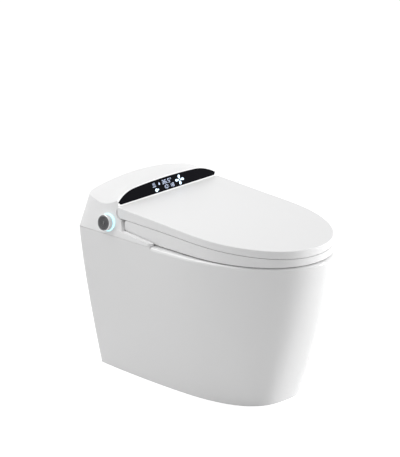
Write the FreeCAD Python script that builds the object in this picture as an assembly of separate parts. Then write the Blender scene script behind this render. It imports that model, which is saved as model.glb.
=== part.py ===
"""Smart toilet with a heated seat: a skirted ceramic pan, a rear unit with a lit display and a side knob,
and a soft-close seat and lid on one hinge line.

Millimetres. +Z is up, the front is -Y, the wall is +Y and X = 0 is the plane of symmetry. The origin is
the centre of the floor outlet, on the floor.
"""
import FreeCAD, Part
import math
import os

V = FreeCAD.Vector

# ---- ceramic pan
RIM_HEIGHT = 386.0
REAR_Y = 300.0
RIM_HALF_WIDTH = 199.5
RIM_REAR_HALF_WIDTH = 201.0
RIM_WIDEST_Y = -20.0
RIM_FRONT_Y = -335.0
RIM_SHAPE = (1.88, 2.16)
BASE_HALF_WIDTH = 140.5
BASE_REAR_HALF_WIDTH = 125.5
BASE_WIDEST_Y = 20.0
BASE_FRONT_Y = -227.5
BASE_SHAPE = (2.55, 2.72)
SIDE_BELLY = 1.25
FRONT_BELLY = 1.36
BODY_LEVELS = 7
BODY_CORNER = 8.0
RIM_FILLET = 8.0
CERAMIC_WALL = 12.0
DECK_THICKNESS = 15.0
BACK_OPENING_HALF_WIDTH = 72.0
BACK_OPENING_HEIGHT = 150.0
WELL_HALF_WIDTH = 104.0
WELL_FRONT_Y = 200.0
WELL_REAR_Y = 272.0
WELL_CORNER = 12.0

# ---- bowl: (height, half width, front y, rear y) of each level, all widest at BOWL_WIDEST_Y
BOWL_WIDEST_Y = -98.0
BOWL_HALF_WIDTH = 132.0
BOWL_FRONT_Y = -284.0
BOWL_BACK_Y = 88.0
BOWL_LIP = 22.0
BOWL_FLOOR = 124.0
BOWL_WALL = 11.0
SUMP_HALF_WIDTH = 44.0
SUMP_FRONT_Y = -148.0
SUMP_BACK_Y = -52.0
BOWL_LEVELS = 6
BOWL_BELLY = 1.7
EGG_SHAPE = 2.25

# ---- trapway and floor outlet
TRAP_RADIUS = 27.0
TRAP_WALL = 8.0
TRAP_BEND = 34.0
WEIR_HEIGHT = 262.0
WEIR_FRONT_Y = 88.0
WEIR_REAR_Y = 142.0
TRAP_DROP_Y = 168.0
TRAP_RETURN_HEIGHT = 84.0
TRAP_INLET_HEIGHT = 152.0
OUTLET_RADIUS = 40.0
COLLAR_RADIUS = 54.0
COLLAR_HEIGHT = 40.0
OUTLET_DEPTH = 22.0
RUN_SHARE = 0.48

# ---- flush way from the pump to the bowl
FLUSH_RADIUS = 7.0
FLUSH_WALL = 2.0
FLUSH_BEND = 26.0
FLUSH_SIDE_X = 128.0
FLUSH_PORT_X = 112.0
FLUSH_PORT_Y = 34.0
FLUSH_PORT_Z = 338.0
FLUSH_REACH = 22.0
PUMP_OUTLET_DROP = 8.0
PUMP_OUTLET_LENGTH = 18.0

# ---- wash notch between the bowl and the rear unit
NOTCH_HALF_WIDTH = 76.0
NOTCH_FRONT_Y = 60.0
NOTCH_REAR_Y = 188.0
NOTCH_FLOOR = 338.0
NOTCH_WALL = 10.0

# ---- seat and lid outline, shared so that their edges stay flush
SEAT_HALF_WIDTH = 182.0
SEAT_REAR_HALF_WIDTH = 181.5
SEAT_WIDEST_Y = -85.6
SEAT_FRONT_Y = -329.8
SEAT_SHAPE = (1.88, 2.16)

# ---- lid
LID_REAR_Y = 181.0
LID_REAR_HEIGHT = 457.4
LID_TILT = 3.23
LID_CORNER = 3.0
LID_END_RADIUS = 20.4
LID_OPEN_HALF_WIDTH = 164.0
LID_EDGE = 1.8
LID_SKIN = 3.5
LID_SIDE_WALL = 4.5
LID_LINER = 2.5
LINER_LIFT = 1.2
LID_LINER_REAR_Y = 126.0
PANEL_FIT = 0.3

# ---- seam between lid and seat: height at three places from rear to front
SEAM_REAR = (148.0, 429.5)
SEAM_MIDDLE = (-130.0, 421.0)
SEAM_FRONT = (-336.0, 408.0)
SEAM_GAP = 1.4
SLAB_REACH = 220.0

# ---- seat
SEAT_REAR_Y = 154.0
SEAT_BOTTOM = 389.0
SEAT_RISE_Y = 30.0
SEAT_REAR_BOTTOM = 402.0
SEAT_REAR_ROUND = 9.0
SEAT_REAR_TOP_ROUND = 7.0
SEAT_HOLE_HALF_WIDTH = 107.0
SEAT_HOLE_FRONT_Y = -247.0
SEAT_HOLE_REAR_Y = 46.0
SEAT_HOLE_WIDEST_Y = -85.0
SEAT_DISH_MARGIN = 42.0
SEAT_DISH_DEPTH = 9.0
SEAT_WALL = 4.0
SEAT_BASE_THICKNESS = 3.0
HEATER_THICKNESS = 0.8
BUMPER_LENGTH = 30.0
BUMPER_WIDTH = 11.0
BUMPER_REST = 0.2
SEAT_BUMPERS = ((-140.0, -150.0), (140.0, -150.0), (-158.0, 20.0), (158.0, 20.0))
LID_BUMPERS = ((-92.0, -262.0), (92.0, -262.0), (-150.0, 30.0), (150.0, 30.0))

# ---- hinge line, shared by seat and lid
HINGE_Y = 160.0
HINGE_Z = 446.2
PIN_RADIUS = 3.0
PIN_CLEARANCE = 0.06
LUG_RADIUS = 6.0
BRACKET_OUTER_X = 157.0
SEAT_LUG_X = 144.4
LID_LUG_X = 132.0
BRACKET_INNER_X = 119.0
LUG_WIDTH = 12.0
LUG_SIDE_GAP = 0.5
BRACKET_NECK = 8.6
DAMPER_RADIUS = 6.0
DAMPER_LENGTH = 58.0
HINGE_SWEEP = 21.0
SWEEP_HALF_WIDTH = 215.0

# ---- rear unit housing
FRONT_SLOPE = 66.0
FRONT_FOOT_Y = 151.0
FRONT_FOOT_Z = 398.0
HOUSING_WALL = 3.0
FRONT_WALL = 5.5
SHELL_TOP = 510.0
HOUSING_START_Y = 132.0
SIDE_BULGE_Y = 232.0
SIDE_STATIONS = 6
# height above the rim, half width, fall-away of the side towards front and rear, rear corner radius
SIDE_LEVELS = (
    (0.0, 200.6, 0.00000, 7.0),
    (26.0, 196.2, 0.00110, 15.0),
    (54.0, 191.2, 0.00230, 27.0),
    (82.0, 186.6, 0.00360, 42.0),
    (124.0, 179.5, 0.00480, 58.0),
)
# y, crown height, shoulder x and height, side x and height of the dome across each station
DOME_STATIONS = (
    (120.0, 495.5, 112.0, 491.8, 177.0, 472.0),
    (186.0, 494.8, 112.0, 491.3, 178.0, 471.0),
    (215.0, 491.0, 104.0, 485.5, 186.0, 460.5),
    (240.0, 488.5, 100.0, 482.5, 187.0, 461.0),
    (264.0, 487.0, 98.0, 481.0, 184.0, 465.0),
    (312.0, 483.0, 80.0, 479.6, 152.0, 464.0),
)
DOME_OVERRUN = 9.0
DOME_REACH = 215.0
RAIL_FRONT_Y = 50.0
RAIL_FRONT_HEIGHT = 7.0
RAIL_REAR_HEIGHT = 16.5
RAIL_LEAN = 0.17
RAIL_ROUND = 10.0
REVEAL_HEIGHT = 1.2
REVEAL_DEPTH = 1.6
SEAT_SIDE_GAP = 2.3

# ---- display
DISPLAY_LEVEL = 460.0
DISPLAY_FOOT = 0.6
DISPLAY_HALF_WIDTH = 185.0
DISPLAY_SHOULDER_X = 108.0
DISPLAY_SHOULDER = 30.4
DISPLAY_HEIGHT = 33.6
DISPLAY_CORNER = 5.5
GLASS_THICKNESS = 2.4
GLASS_SET_BACK = 0.3
GLASS_FIT = 0.25
GLASS_LEDGE = 5.0
BOARD_THICKNESS = 1.6

# ---- knob on the user's right hand side
KNOB_Y = 200.5
KNOB_Z = 415.5
KNOB_TILT = 8.5
KNOB_RADIUS = 20.4
KNOB_HEIGHT = 13.4
KNOB_LIFT = 2.2
KNOB_FACE_RADIUS = 19.2
KNOB_FACE_THICKNESS = 1.6
KNOB_RIBS = 36
RING_OUTER = 22.4
RING_INNER = 18.0
RING_THICKNESS = 2.6
RING_PROUD = 0.6
KNOB_WALL = 2.4
SHAFT_RADIUS = 3.0
SHAFT_FLAT = 2.2
SLEEVE_RADIUS = 5.0
SLEEVE_LENGTH = 9.0
ENCODER_RADIUS = 10.0
ENCODER_LENGTH = 13.0
TURN_CLEARANCE = 0.05
KNOB_TRAVEL = 1.2

# ---- wash wand
WAND_X = -22.0
WAND_SLOPE = 25.0
WAND_Y = 82.0
WAND_Z = 354.0
WAND_RADIUS = 7.0
WAND_BORE = 4.0
WAND_LENGTH = 220.0
WAND_TRAVEL = 90.0
RACK_SPARE = 8.0
WAND_TIP = 14.0
SHIELD_RADIUS = 11.0
SHIELD_THICKNESS = 2.6
SPRAY_HOLE = 0.8
RACK_WIDTH = 6.0
RACK_ROOT = 7.6
TOOTH_MODULE = 1.0
PINION_TEETH = 16
PRESSURE_ANGLE = 20.0
BACKLASH = 0.24
PINION_WIDTH = 5.0
PINION_BORE = 1.5
GUIDE_START = 16.0
GUIDE_LENGTH = 190.0
GUIDE_WALL = 3.0
GUIDE_CLEARANCE = 0.35
STEPPER_RADIUS = 12.5
STEPPER_LENGTH = 19.0

# ---- wash fascia and dryer
FASCIA_Y = 76.0
FASCIA_THICKNESS = 3.0
FASCIA_FIT = 0.8
DRYER_X = 36.0
DRYER_WIDTH = 44.0
DRYER_HEIGHT = 16.0
DRYER_Z = 362.0
FLAP_THICKNESS = 2.0
FLAP_GAP = 0.6
FLAP_PIN_RADIUS = 1.2
DUCT_WALL = 1.8
DUCT_MIDDLE_Z = 386.0
DUCT_REAR_Z = 402.5
FAN_X = 62.0
FAN_Y = 232.0
FAN_Z = 396.0
FAN_RADIUS = 34.0
FAN_HEIGHT = 26.0
FAN_BLADES = 11
SCROLL_WALL = 2.0
SCROLL_GAP = 3.0

# ---- what the housing holds
PLATE_THICKNESS = 4.0
PLATE_FIT = 0.8
PLATE_FRONT_Y = 172.0
PLATE_MOUTH_Y = 196.0
HEATER_BOX = (56.0, 78.0, 42.0)
HEATER_AT = (-104.0, 241.0)
HEATER_CORNER = 10.0
HEATER_FLANGE = 3.0
NOZZLE_RADIUS = 4.0
NOZZLE_BORE = 2.6
NOZZLE_LENGTH = 8.0
FIN_PITCH = 6.0
FIN_DEPTH = 5.0
FILTER_SLOTS = 5
BOARD_BOX = (46.0, 80.0, 1.6)
BOARD_AT = (146.0, 244.0)
POWER_BOX = (42.0, 56.0, 26.0)
POWER_AT = (-158.0, 262.0)
VALVE_RADIUS = 13.0
VALVE_HEIGHT = 44.0
VALVE_AT = (-56.0, 252.0)
STUB_RADIUS = 10.4
STUB_LENGTH = 15.0
PUMP_RADIUS = 30.0
PUMP_LENGTH = 72.0
PUMP_AT = (30.0, 236.0)
PUMP_NECK_X = 2.0
PUMP_Z = 330.0
PUMP_NECK_RADIUS = 10.0
PUMP_RIB = 1.6
FILTER_BOX = (30.0, 24.0, 30.0)
FILTER_AT = (20.0, 278.0)
GLAND_RADIUS = 8.0
GLAND_LENGTH = 9.0
GLAND_X = 120.0
GLAND_Z = 402.0


# ---- small helpers
def box(x0, x1, y0, y1, z0, z1):
    return Part.makeBox(x1 - x0, y1 - y0, z1 - z0, V(x0, y0, z0))


def rod(x, y, z, radius, length, axis):
    return Part.makeCylinder(radius, length, V(x, y, z), axis)


def spline(points, closed=False):
    curve = Part.BSplineCurve()
    curve.interpolate(Points=points, PeriodicFlag=closed)
    return curve.toShape()


def side_prism(points, x0, x1):
    """A closed outline in the Y-Z plane carried from x0 to x1."""
    wire = Part.makePolygon([V(x0, y, z) for y, z in points + points[:1]])
    return Part.Face(wire).extrude(V(x1 - x0, 0, 0))


def loft(wires, ruled=False):
    return Part.makeLoft(wires, True, ruled)


def mirrored(shape):
    return shape.mirror(V(0, 0, 0), V(1, 0, 0))


def both(shape):
    return shape.fuse(mirrored(shape))


def rounded_box(x0, x1, y0, y1, z0, z1, radius):
    body = box(x0, x1, y0, y1, z0, z1)
    upright = [e for e in body.Edges if abs(e.Vertexes[0].Z - e.Vertexes[1].Z) > 0.5 * (z1 - z0)]
    return body.makeFillet(radius, upright)


def blend(start, end, share):
    return start + (end - start) * share


def front_y(z, back=0.0):
    """The y of the housing's sloping front face at height z, moved back square to the face."""
    slope = math.radians(FRONT_SLOPE)
    return FRONT_FOOT_Y + (z - FRONT_FOOT_Z) / math.tan(slope) + back / math.sin(slope)


# ---- outlines
def pan_points(width, rear_width, widest, front, rear, shape):
    """The plan outline of pan, seat and lid from the rear right corner round the front to the rear left."""
    right = []
    for step in (1.0, 0.66, 0.33):
        right.append((width - (width - rear_width) * step ** 2, blend(widest, rear, step)))
    for degrees in range(0, 90, 15):
        turn = math.radians(degrees)
        across = width * math.cos(turn) ** (2.0 / shape[1])
        right.append((across, widest - (widest - front) * math.sin(turn) ** (2.0 / shape[0])))
    left = [(-x, y) for x, y in reversed(right)]
    return right + [(0.0, front)] + left


def pan_wire(z, width, rear_width, widest, front, rear, shape, corner):
    """The closed outline at height z, with round rear corners."""
    points = pan_points(width, rear_width, widest, front, rear - corner, shape)
    curve = spline([V(x, y, z) for x, y in points])
    edge = rear_width - corner
    reach = corner * math.sqrt(0.5)
    left = Part.Arc(
        V(-rear_width, rear - corner, z),
        V(-edge - reach, rear - corner + reach, z),
        V(-edge, rear, z),
    ).toShape()
    back = Part.makeLine(V(-edge, rear, z), V(edge, rear, z))
    right = Part.Arc(
        V(edge, rear, z),
        V(edge + reach, rear - corner + reach, z),
        V(rear_width, rear - corner, z),
    ).toShape()
    return Part.Wire([curve, left, back, right])


def seat_prism(inset, z0, z1, corner=LID_CORNER):
    """The plan outline of seat and lid, drawn in by inset, as a tall prism."""
    wire = pan_wire(
        z0,
        SEAT_HALF_WIDTH - inset,
        SEAT_REAR_HALF_WIDTH - inset,
        SEAT_WIDEST_Y,
        SEAT_FRONT_Y + inset,
        LID_REAR_Y - inset,
        SEAT_SHAPE,
        corner,
    )
    return Part.Face(wire).extrude(V(0, 0, z1 - z0))


def egg_wire(z, width, widest, front, rear):
    """A closed egg outline at height z, for the bowl and the seat's opening."""
    points = []
    for degrees in range(0, 360, 20):
        turn = math.radians(degrees)
        across = math.copysign(abs(math.cos(turn)) ** (2.0 / EGG_SHAPE), math.cos(turn))
        along = math.copysign(abs(math.sin(turn)) ** (2.0 / EGG_SHAPE), math.sin(turn))
        reach = rear - widest if along > 0 else widest - front
        points.append(V(width * across, widest + reach * along, z))
    return Part.Wire([spline(points, closed=True)])


# ---- ceramic pan
def pan_section(z, inset=0.0):
    """The pan's outline at height z, drawn in by inset."""
    rest = 1.0 - min(max(z / RIM_HEIGHT, 0.0), 1.0)
    side = 1.0 - rest ** SIDE_BELLY
    front = 1.0 - rest ** FRONT_BELLY
    return pan_wire(
        z,
        blend(BASE_HALF_WIDTH, RIM_HALF_WIDTH, side) - inset,
        blend(BASE_REAR_HALF_WIDTH, RIM_REAR_HALF_WIDTH, side) - inset,
        blend(BASE_WIDEST_Y, RIM_WIDEST_Y, side),
        blend(BASE_FRONT_Y, RIM_FRONT_Y, front) + inset,
        REAR_Y - inset,
        (blend(BASE_SHAPE[0], RIM_SHAPE[0], side), blend(BASE_SHAPE[1], RIM_SHAPE[1], side)),
        BODY_CORNER,
    )


def pan_body():
    heights = [RIM_HEIGHT * n / (BODY_LEVELS - 1) for n in range(BODY_LEVELS)]
    body = loft([pan_section(z) for z in heights])
    front = body.common(
        box(-RIM_HALF_WIDTH - 50, RIM_HALF_WIDTH + 50, RIM_FRONT_Y - 50, RAIL_FRONT_Y, -1, RIM_HEIGHT + 1)
    )
    rear = body.cut(front)
    level = [e for e in front.Edges if e.BoundBox.ZMax - e.BoundBox.ZMin < 1]
    rim = [e for e in level if e.CenterOfMass.z > RIM_HEIGHT - 1 and e.Length > RIM_HALF_WIDTH * 2.5]
    return front.makeFillet(RIM_FILLET, rim).fuse(rear).removeSplitter()


def pan_hollow():
    top = RIM_HEIGHT - DECK_THICKNESS
    heights = [top * n / (BODY_LEVELS - 1) for n in range(BODY_LEVELS)]
    upper = loft([pan_section(z, CERAMIC_WALL) for z in heights])
    return upper.fuse(Part.Face(pan_section(0.0, CERAMIC_WALL)).extrude(V(0, 0, -1)))


def bowl(wall=0.0):
    """The bowl's inside, or with a wall its outside, up to just above the rim."""
    top = RIM_HEIGHT + 1
    lip = RIM_HEIGHT - BOWL_LIP
    wires = [egg_wire(top, BOWL_HALF_WIDTH + wall, BOWL_WIDEST_Y, BOWL_FRONT_Y - wall, BOWL_BACK_Y + wall)]
    for n in range(BOWL_LEVELS):
        share = n / (BOWL_LEVELS - 1)
        narrow = share ** BOWL_BELLY
        wires.append(
            egg_wire(
                blend(lip, BOWL_FLOOR - wall, share),
                blend(BOWL_HALF_WIDTH, SUMP_HALF_WIDTH, narrow) + wall,
                BOWL_WIDEST_Y,
                blend(BOWL_FRONT_Y, SUMP_FRONT_Y, narrow) - wall,
                blend(BOWL_BACK_Y, SUMP_BACK_Y, narrow) + wall,
            )
        )
    return loft(wires)


def pipe_path(points, bend):
    """A pipe's centre line: straight runs joined by tangent arcs of radius bend, or less on short runs."""
    edges = []
    start = points[0]
    for before, here, after in zip(points, points[1:], points[2:]):
        inward = (before - here).normalize()
        outward = (after - here).normalize()
        half = inward.getAngle(outward) / 2.0
        room = RUN_SHARE * min((before - here).Length, (after - here).Length)
        trim = min(bend / math.tan(half), room)
        radius = trim * math.tan(half)
        enter = here + inward * trim
        leave = here + outward * trim
        middle = (inward + outward).normalize()
        top = here + middle * (radius / math.sin(half) - radius)
        edges.append(Part.makeLine(start, enter))
        edges.append(Part.Arc(enter, top, leave).toShape())
        start = leave
    edges.append(Part.makeLine(start, points[-1]))
    return Part.Wire(edges)


def pipe(path, radius):
    start = path.Edges[0]
    direction = start.tangentAt(start.FirstParameter)
    ring = Part.Wire([Part.makeCircle(radius, start.valueAt(start.FirstParameter), direction)])
    return path.makePipeShell([ring], True, False)


def trap(radius):
    """The waste way in the plane of symmetry: sump, up over the weir, down, and forward to the outlet."""
    corners = [
        (BOWL_WIDEST_Y, TRAP_INLET_HEIGHT),
        (SUMP_BACK_Y + TRAP_BEND, TRAP_INLET_HEIGHT - TRAP_RADIUS),
        (WEIR_FRONT_Y, WEIR_HEIGHT),
        (WEIR_REAR_Y, WEIR_HEIGHT),
        (TRAP_DROP_Y, TRAP_RETURN_HEIGHT + 2 * TRAP_BEND),
        (TRAP_DROP_Y - TRAP_BEND, TRAP_RETURN_HEIGHT),
        (0.0, TRAP_RETURN_HEIGHT),
        (0.0, OUTLET_DEPTH),
    ]
    return pipe(pipe_path([V(0, y, z) for y, z in corners], TRAP_BEND), radius)


def flush_way(radius, into_bowl):
    """The flush water's way from the pump round the notch and through the bowl's wall."""
    level = PUMP_Z - PUMP_OUTLET_DROP
    port = V(FLUSH_PORT_X, FLUSH_PORT_Y, FLUSH_PORT_Z)
    side = V(FLUSH_SIDE_X, NOTCH_REAR_Y - FLUSH_BEND, level)
    aim = (port - side).normalize()
    points = [
        V(PUMP_AT[0] + PUMP_LENGTH / 2.0 + PUMP_OUTLET_LENGTH, PUMP_AT[1], level),
        V(FLUSH_SIDE_X, PUMP_AT[1], level),
        side,
        port + aim * into_bowl,
    ]
    return pipe(pipe_path(points, FLUSH_BEND), radius)


def notch(wall, low, high):
    """The wash notch behind the bowl, wider by wall all round, between two heights."""
    half = NOTCH_HALF_WIDTH + wall
    return box(-half, half, NOTCH_FRONT_Y, NOTCH_REAR_Y + wall, low, high)


def rear_well():
    """The opening in the deck under the rear unit."""
    half = WELL_HALF_WIDTH
    return rounded_box(-half, half, WELL_FRONT_Y, WELL_REAR_Y, NOTCH_FLOOR, RIM_HEIGHT + 1, WELL_CORNER)


def pan_skirt():
    """The outer skirt with its deck, open to the floor, with the notch for the wash unit."""
    body = pan_body().cut(pan_hollow())
    body = body.fuse(notch(NOTCH_WALL, NOTCH_FLOOR - NOTCH_WALL, RIM_HEIGHT))
    body = body.cut(notch(0.0, NOTCH_FLOOR, RIM_HEIGHT + 1))
    body = body.cut(bowl(BOWL_WALL))
    body = body.cut(rear_well())
    half = BACK_OPENING_HALF_WIDTH
    back = box(-half, half, REAR_Y - CERAMIC_WALL - 1, REAR_Y + 1, -1, BACK_OPENING_HEIGHT)
    return body.cut(back).removeSplitter()


def pan_bowl():
    """The bowl, whose wall meets the skirt's deck at the rim."""
    body = bowl(BOWL_WALL).common(pan_body())
    body = body.cut(bowl())
    body = body.cut(trap(TRAP_RADIUS))
    body = body.cut(flush_way(FLUSH_RADIUS, FLUSH_REACH))
    return body.cut(notch(0.0, NOTCH_FLOOR, RIM_HEIGHT + 1))


def pan_trapway():
    """The S-shaped waste pipe from the bowl's sump over the weir to the floor outlet."""
    body = trap(TRAP_RADIUS + TRAP_WALL).cut(trap(TRAP_RADIUS))
    return body.cut(bowl(BOWL_WALL))


def flush_hose():
    """The hose from the flush pump to the bowl's flush port."""
    body = flush_way(FLUSH_RADIUS + FLUSH_WALL, 0.0).cut(flush_way(FLUSH_RADIUS, 1.0))
    return body.cut(bowl(BOWL_WALL))


def outlet_collar():
    body = rod(0, 0, 0, COLLAR_RADIUS, COLLAR_HEIGHT, V(0, 0, 1))
    body = body.cut(rod(0, 0, -1, OUTLET_RADIUS, OUTLET_DEPTH + 1, V(0, 0, 1)))
    return body.cut(rod(0, 0, 0, TRAP_RADIUS + TRAP_WALL, COLLAR_HEIGHT + 1, V(0, 0, 1)))


# ---- rear unit housing
def side_wire(z, half_width, fall, corner, inset):
    """The housing's plan at height z: sides that fall away from their widest place, round rear corners."""
    rear = REAR_Y - inset
    turn_y = rear - corner
    half_width = half_width - inset
    points = []
    for n in range(SIDE_STATIONS):
        y = blend(HOUSING_START_Y, turn_y, n / (SIDE_STATIONS - 1))
        points.append((half_width - fall * (y - SIDE_BULGE_Y) ** 2, y))
    edge = points[-1][0] - corner
    for degrees in (30, 60, 90):
        turn = math.radians(degrees)
        points.append((edge + corner * math.cos(turn), turn_y + corner * math.sin(turn)))
    right = spline([V(x, y, z) for x, y in points])
    back = Part.makeLine(V(edge, rear, z), V(-edge, rear, z))
    left = spline([V(-x, y, z) for x, y in reversed(points)])
    start = points[0][0]
    front = Part.makeLine(V(-start, HOUSING_START_Y, z), V(start, HOUSING_START_Y, z))
    return Part.Wire([right, back, left, front])


def side_solid(inset=0.0):
    wires = []
    for level, half_width, fall, corner in SIDE_LEVELS:
        wires.append(side_wire(RIM_HEIGHT + level, half_width, fall, corner, inset))
    return loft(wires)


def dome_wire(y, crown, shoulder_x, shoulder_z, side_x, side_z, drop):
    """The dome across one station: a long flat arc over the top and a tight arc down each side."""
    sag = crown - shoulder_z
    flat = (shoulder_x ** 2 + sag ** 2) / (2.0 * sag)
    lean = math.asin(shoulder_x / flat)
    down = (-math.sin(lean), -math.cos(lean))
    run = (side_x - shoulder_x, side_z - shoulder_z)
    tight = (run[0] ** 2 + run[1] ** 2) / (2.0 * (run[0] * down[0] + run[1] * down[1]))
    centre = (shoulder_x + tight * down[0], shoulder_z + tight * down[1])
    start = math.atan2(shoulder_z - centre[1], shoulder_x - centre[0])
    end = math.atan2(side_z - centre[1], side_x - centre[0]) - DOME_OVERRUN / tight
    middle = (start + end) / 2.0

    def on_arc(turn, side):
        return V(side * (centre[0] + tight * math.cos(turn)), y, centre[1] + tight * math.sin(turn) - drop)

    low = RIM_HEIGHT - 6.0
    top = Part.Arc(on_arc(start, -1), V(0, y, crown - drop), on_arc(start, 1)).toShape()
    right = Part.Arc(on_arc(start, 1), on_arc(middle, 1), on_arc(end, 1)).toShape()
    left = Part.Arc(on_arc(end, -1), on_arc(middle, -1), on_arc(start, -1)).toShape()
    edge = on_arc(end, 1)
    corners = [(edge.x, edge.z), (DOME_REACH, edge.z), (DOME_REACH, low)]
    corners += [(-x, z) for x, z in reversed(corners)]
    sides = [
        Part.makeLine(V(x0, y, z0), V(x1, y, z1))
        for (x0, z0), (x1, z1) in zip(corners, corners[1:])
    ]
    return Part.Wire([top, right] + sides + [left])


def dome_solid(drop=0.0):
    return loft([dome_wire(*station, drop) for station in DOME_STATIONS])


def behind_front(back, x=240.0):
    """Everything behind the sloping front face, moved back square to the face."""
    low = RIM_HEIGHT - 20
    outline = [
        (front_y(low, back), low),
        (REAR_Y + 20, low),
        (REAR_Y + 20, SHELL_TOP),
        (front_y(SHELL_TOP, back), SHELL_TOP),
    ]
    return side_prism(outline, -x, x)


def sweep_groove(extra):
    """The round space that the rear edge of lid and seat turn in."""
    reach = SWEEP_HALF_WIDTH + extra
    return rod(-reach, HINGE_Y, HINGE_Z, HINGE_SWEEP + extra, 2 * reach, V(1, 0, 0))


def rails():
    """The two side rails that run forward along the pan's rim beside the seat."""
    inner = SEAT_HALF_WIDTH + SEAT_SIDE_GAP
    half = SIDE_LEVELS[0][1]
    rear = FRONT_FOOT_Y + 14.0
    outline = [
        (RAIL_FRONT_Y, RIM_HEIGHT),
        (RAIL_FRONT_Y, RIM_HEIGHT + RAIL_FRONT_HEIGHT),
        (FRONT_FOOT_Y, RIM_HEIGHT + RAIL_REAR_HEIGHT),
        (rear, RIM_HEIGHT + RAIL_REAR_HEIGHT),
        (rear, RIM_HEIGHT),
    ]
    rail = side_prism(outline, inner, half)
    top = RIM_HEIGHT + RAIL_REAR_HEIGHT
    lean = RAIL_LEAN * RAIL_REAR_HEIGHT
    wedge = Part.Face(
        Part.makePolygon(
            [V(half, 0, RIM_HEIGHT), V(half, 0, top), V(half - lean, 0, top), V(half, 0, RIM_HEIGHT)]
        )
    ).extrude(V(0, REAR_Y, 0))
    rail = rail.cut(wedge)
    front = [e for e in rail.Edges if abs(e.CenterOfMass.y - RAIL_FRONT_Y) < 0.1]
    nose = [e for e in front if e.CenterOfMass.x > half - 3]
    rail = rail.makeFillet(RAIL_ROUND, nose)
    return both(rail)


def display_plate(grow, low, high):
    """The lens-shaped display outline, grown all round, between two depths square to the front face."""
    half = DISPLAY_HALF_WIDTH + grow
    top = DISPLAY_HEIGHT + grow
    shoulder = DISPLAY_SHOULDER + grow
    sag = top - shoulder
    flat = (DISPLAY_SHOULDER_X ** 2 + sag ** 2) / (2.0 * sag)
    lean = math.asin(DISPLAY_SHOULDER_X / flat)
    down = (-math.sin(lean), -math.cos(lean))
    foot = DISPLAY_FOOT - grow
    run = (half - DISPLAY_SHOULDER_X, foot - shoulder)
    tight = (run[0] ** 2 + run[1] ** 2) / (2.0 * (run[0] * down[0] + run[1] * down[1]))
    centre = (DISPLAY_SHOULDER_X + tight * down[0], shoulder + tight * down[1])
    start = math.atan2(shoulder - centre[1], DISPLAY_SHOULDER_X - centre[0])
    end = math.atan2(foot - centre[1], half - centre[0])
    turn = (start + end) / 2.0
    bend = (centre[0] + tight * math.cos(turn), centre[1] + tight * math.sin(turn))
    shoulder_right = V(DISPLAY_SHOULDER_X, shoulder, low)
    shoulder_left = V(-DISPLAY_SHOULDER_X, shoulder, low)
    edges = [
        Part.Arc(shoulder_left, V(0, top, low), shoulder_right).toShape(),
        Part.Arc(shoulder_right, V(bend[0], bend[1], low), V(half, foot, low)).toShape(),
        Part.makeLine(V(half, foot, low), V(-half, foot, low)),
        Part.Arc(V(-half, foot, low), V(-bend[0], bend[1], low), shoulder_left).toShape(),
    ]
    plate = Part.Face(Part.Wire(edges)).extrude(V(0, 0, high - low))
    ends = [e for e in plate.Edges if abs(abs(e.CenterOfMass.x) - half) < 0.01]
    plate = plate.makeFillet(max(DISPLAY_CORNER + grow, 1.0), ends)
    foot = V(0, front_y(DISPLAY_LEVEL), DISPLAY_LEVEL)
    plate.Placement = FreeCAD.Placement(foot, FreeCAD.Rotation(V(1, 0, 0), FRONT_SLOPE))
    return plate


def housing_outside():
    body = side_solid().common(dome_solid())
    body = body.common(behind_front(0.0))
    return body.fuse(rails())


def housing_inside():
    body = side_solid(HOUSING_WALL).common(dome_solid(HOUSING_WALL))
    body = body.common(behind_front(FRONT_WALL))
    return body.cut(sweep_groove(HOUSING_WALL))


def reveal():
    """The narrow shadow line between the cover's lower edge and the ceramic deck."""
    low = RIM_HEIGHT - 1.0
    high = RIM_HEIGHT + REVEAL_HEIGHT
    half = SIDE_LEVELS[0][1] - REVEAL_DEPTH
    corner = SIDE_LEVELS[0][3]
    front = RAIL_FRONT_Y + REVEAL_DEPTH
    kept = rounded_box(-half, half, front, REAR_Y - REVEAL_DEPTH, low - 1, high + 1, corner)
    return box(-half - 20, half + 20, RAIL_FRONT_Y - 20, REAR_Y + 20, low, high).cut(kept)


def knob_place(shape):
    """Moves a shape made along +Z onto the knob's axis, with z = 0 on the housing's side."""
    turn = FreeCAD.Placement(knob_seat(), FreeCAD.Rotation(V(0, 0, 1), knob_axis()))
    shape.Placement = turn.multiply(shape.Placement)
    return shape


def knob_axis():
    tilt = math.radians(KNOB_TILT)
    return V(-math.cos(tilt), 0, math.sin(tilt))


def knob_seat():
    """The point where the knob's axis leaves the housing's side."""
    z = KNOB_Z - RIM_HEIGHT
    for low, high in zip(SIDE_LEVELS, SIDE_LEVELS[1:]):
        if low[0] <= z <= high[0]:
            share = (z - low[0]) / (high[0] - low[0])
            fall = blend(low[2], high[2], share)
            half = blend(low[1], high[1], share) - fall * (KNOB_Y - SIDE_BULGE_Y) ** 2
    return V(-half, KNOB_Y, KNOB_Z)


def bracket_slots(side_fit):
    """The two uprights of a hinge bracket on the right, wider by side_fit."""
    solids = []
    for x, width in ((BRACKET_OUTER_X, LUG_WIDTH), (BRACKET_INNER_X, LUG_WIDTH - 4.0)):
        half = width / 2.0 + side_fit
        foot = HINGE_Y - LUG_RADIUS
        low = RIM_HEIGHT + PLATE_THICKNESS
        outline = [
            (foot - side_fit, low + 14.0 - side_fit),
            (foot - side_fit, HINGE_Z),
            (foot + BRACKET_NECK + side_fit, HINGE_Z),
            (foot + BRACKET_NECK + side_fit, low + 32.0),
            (PLATE_FRONT_Y + 22.0, low + 12.0),
            (PLATE_FRONT_Y + 22.0, low),
            (front_y(low, FRONT_WALL) + 12.0, low),
        ]
        solids.append((x, half, outline))
    return solids


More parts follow.
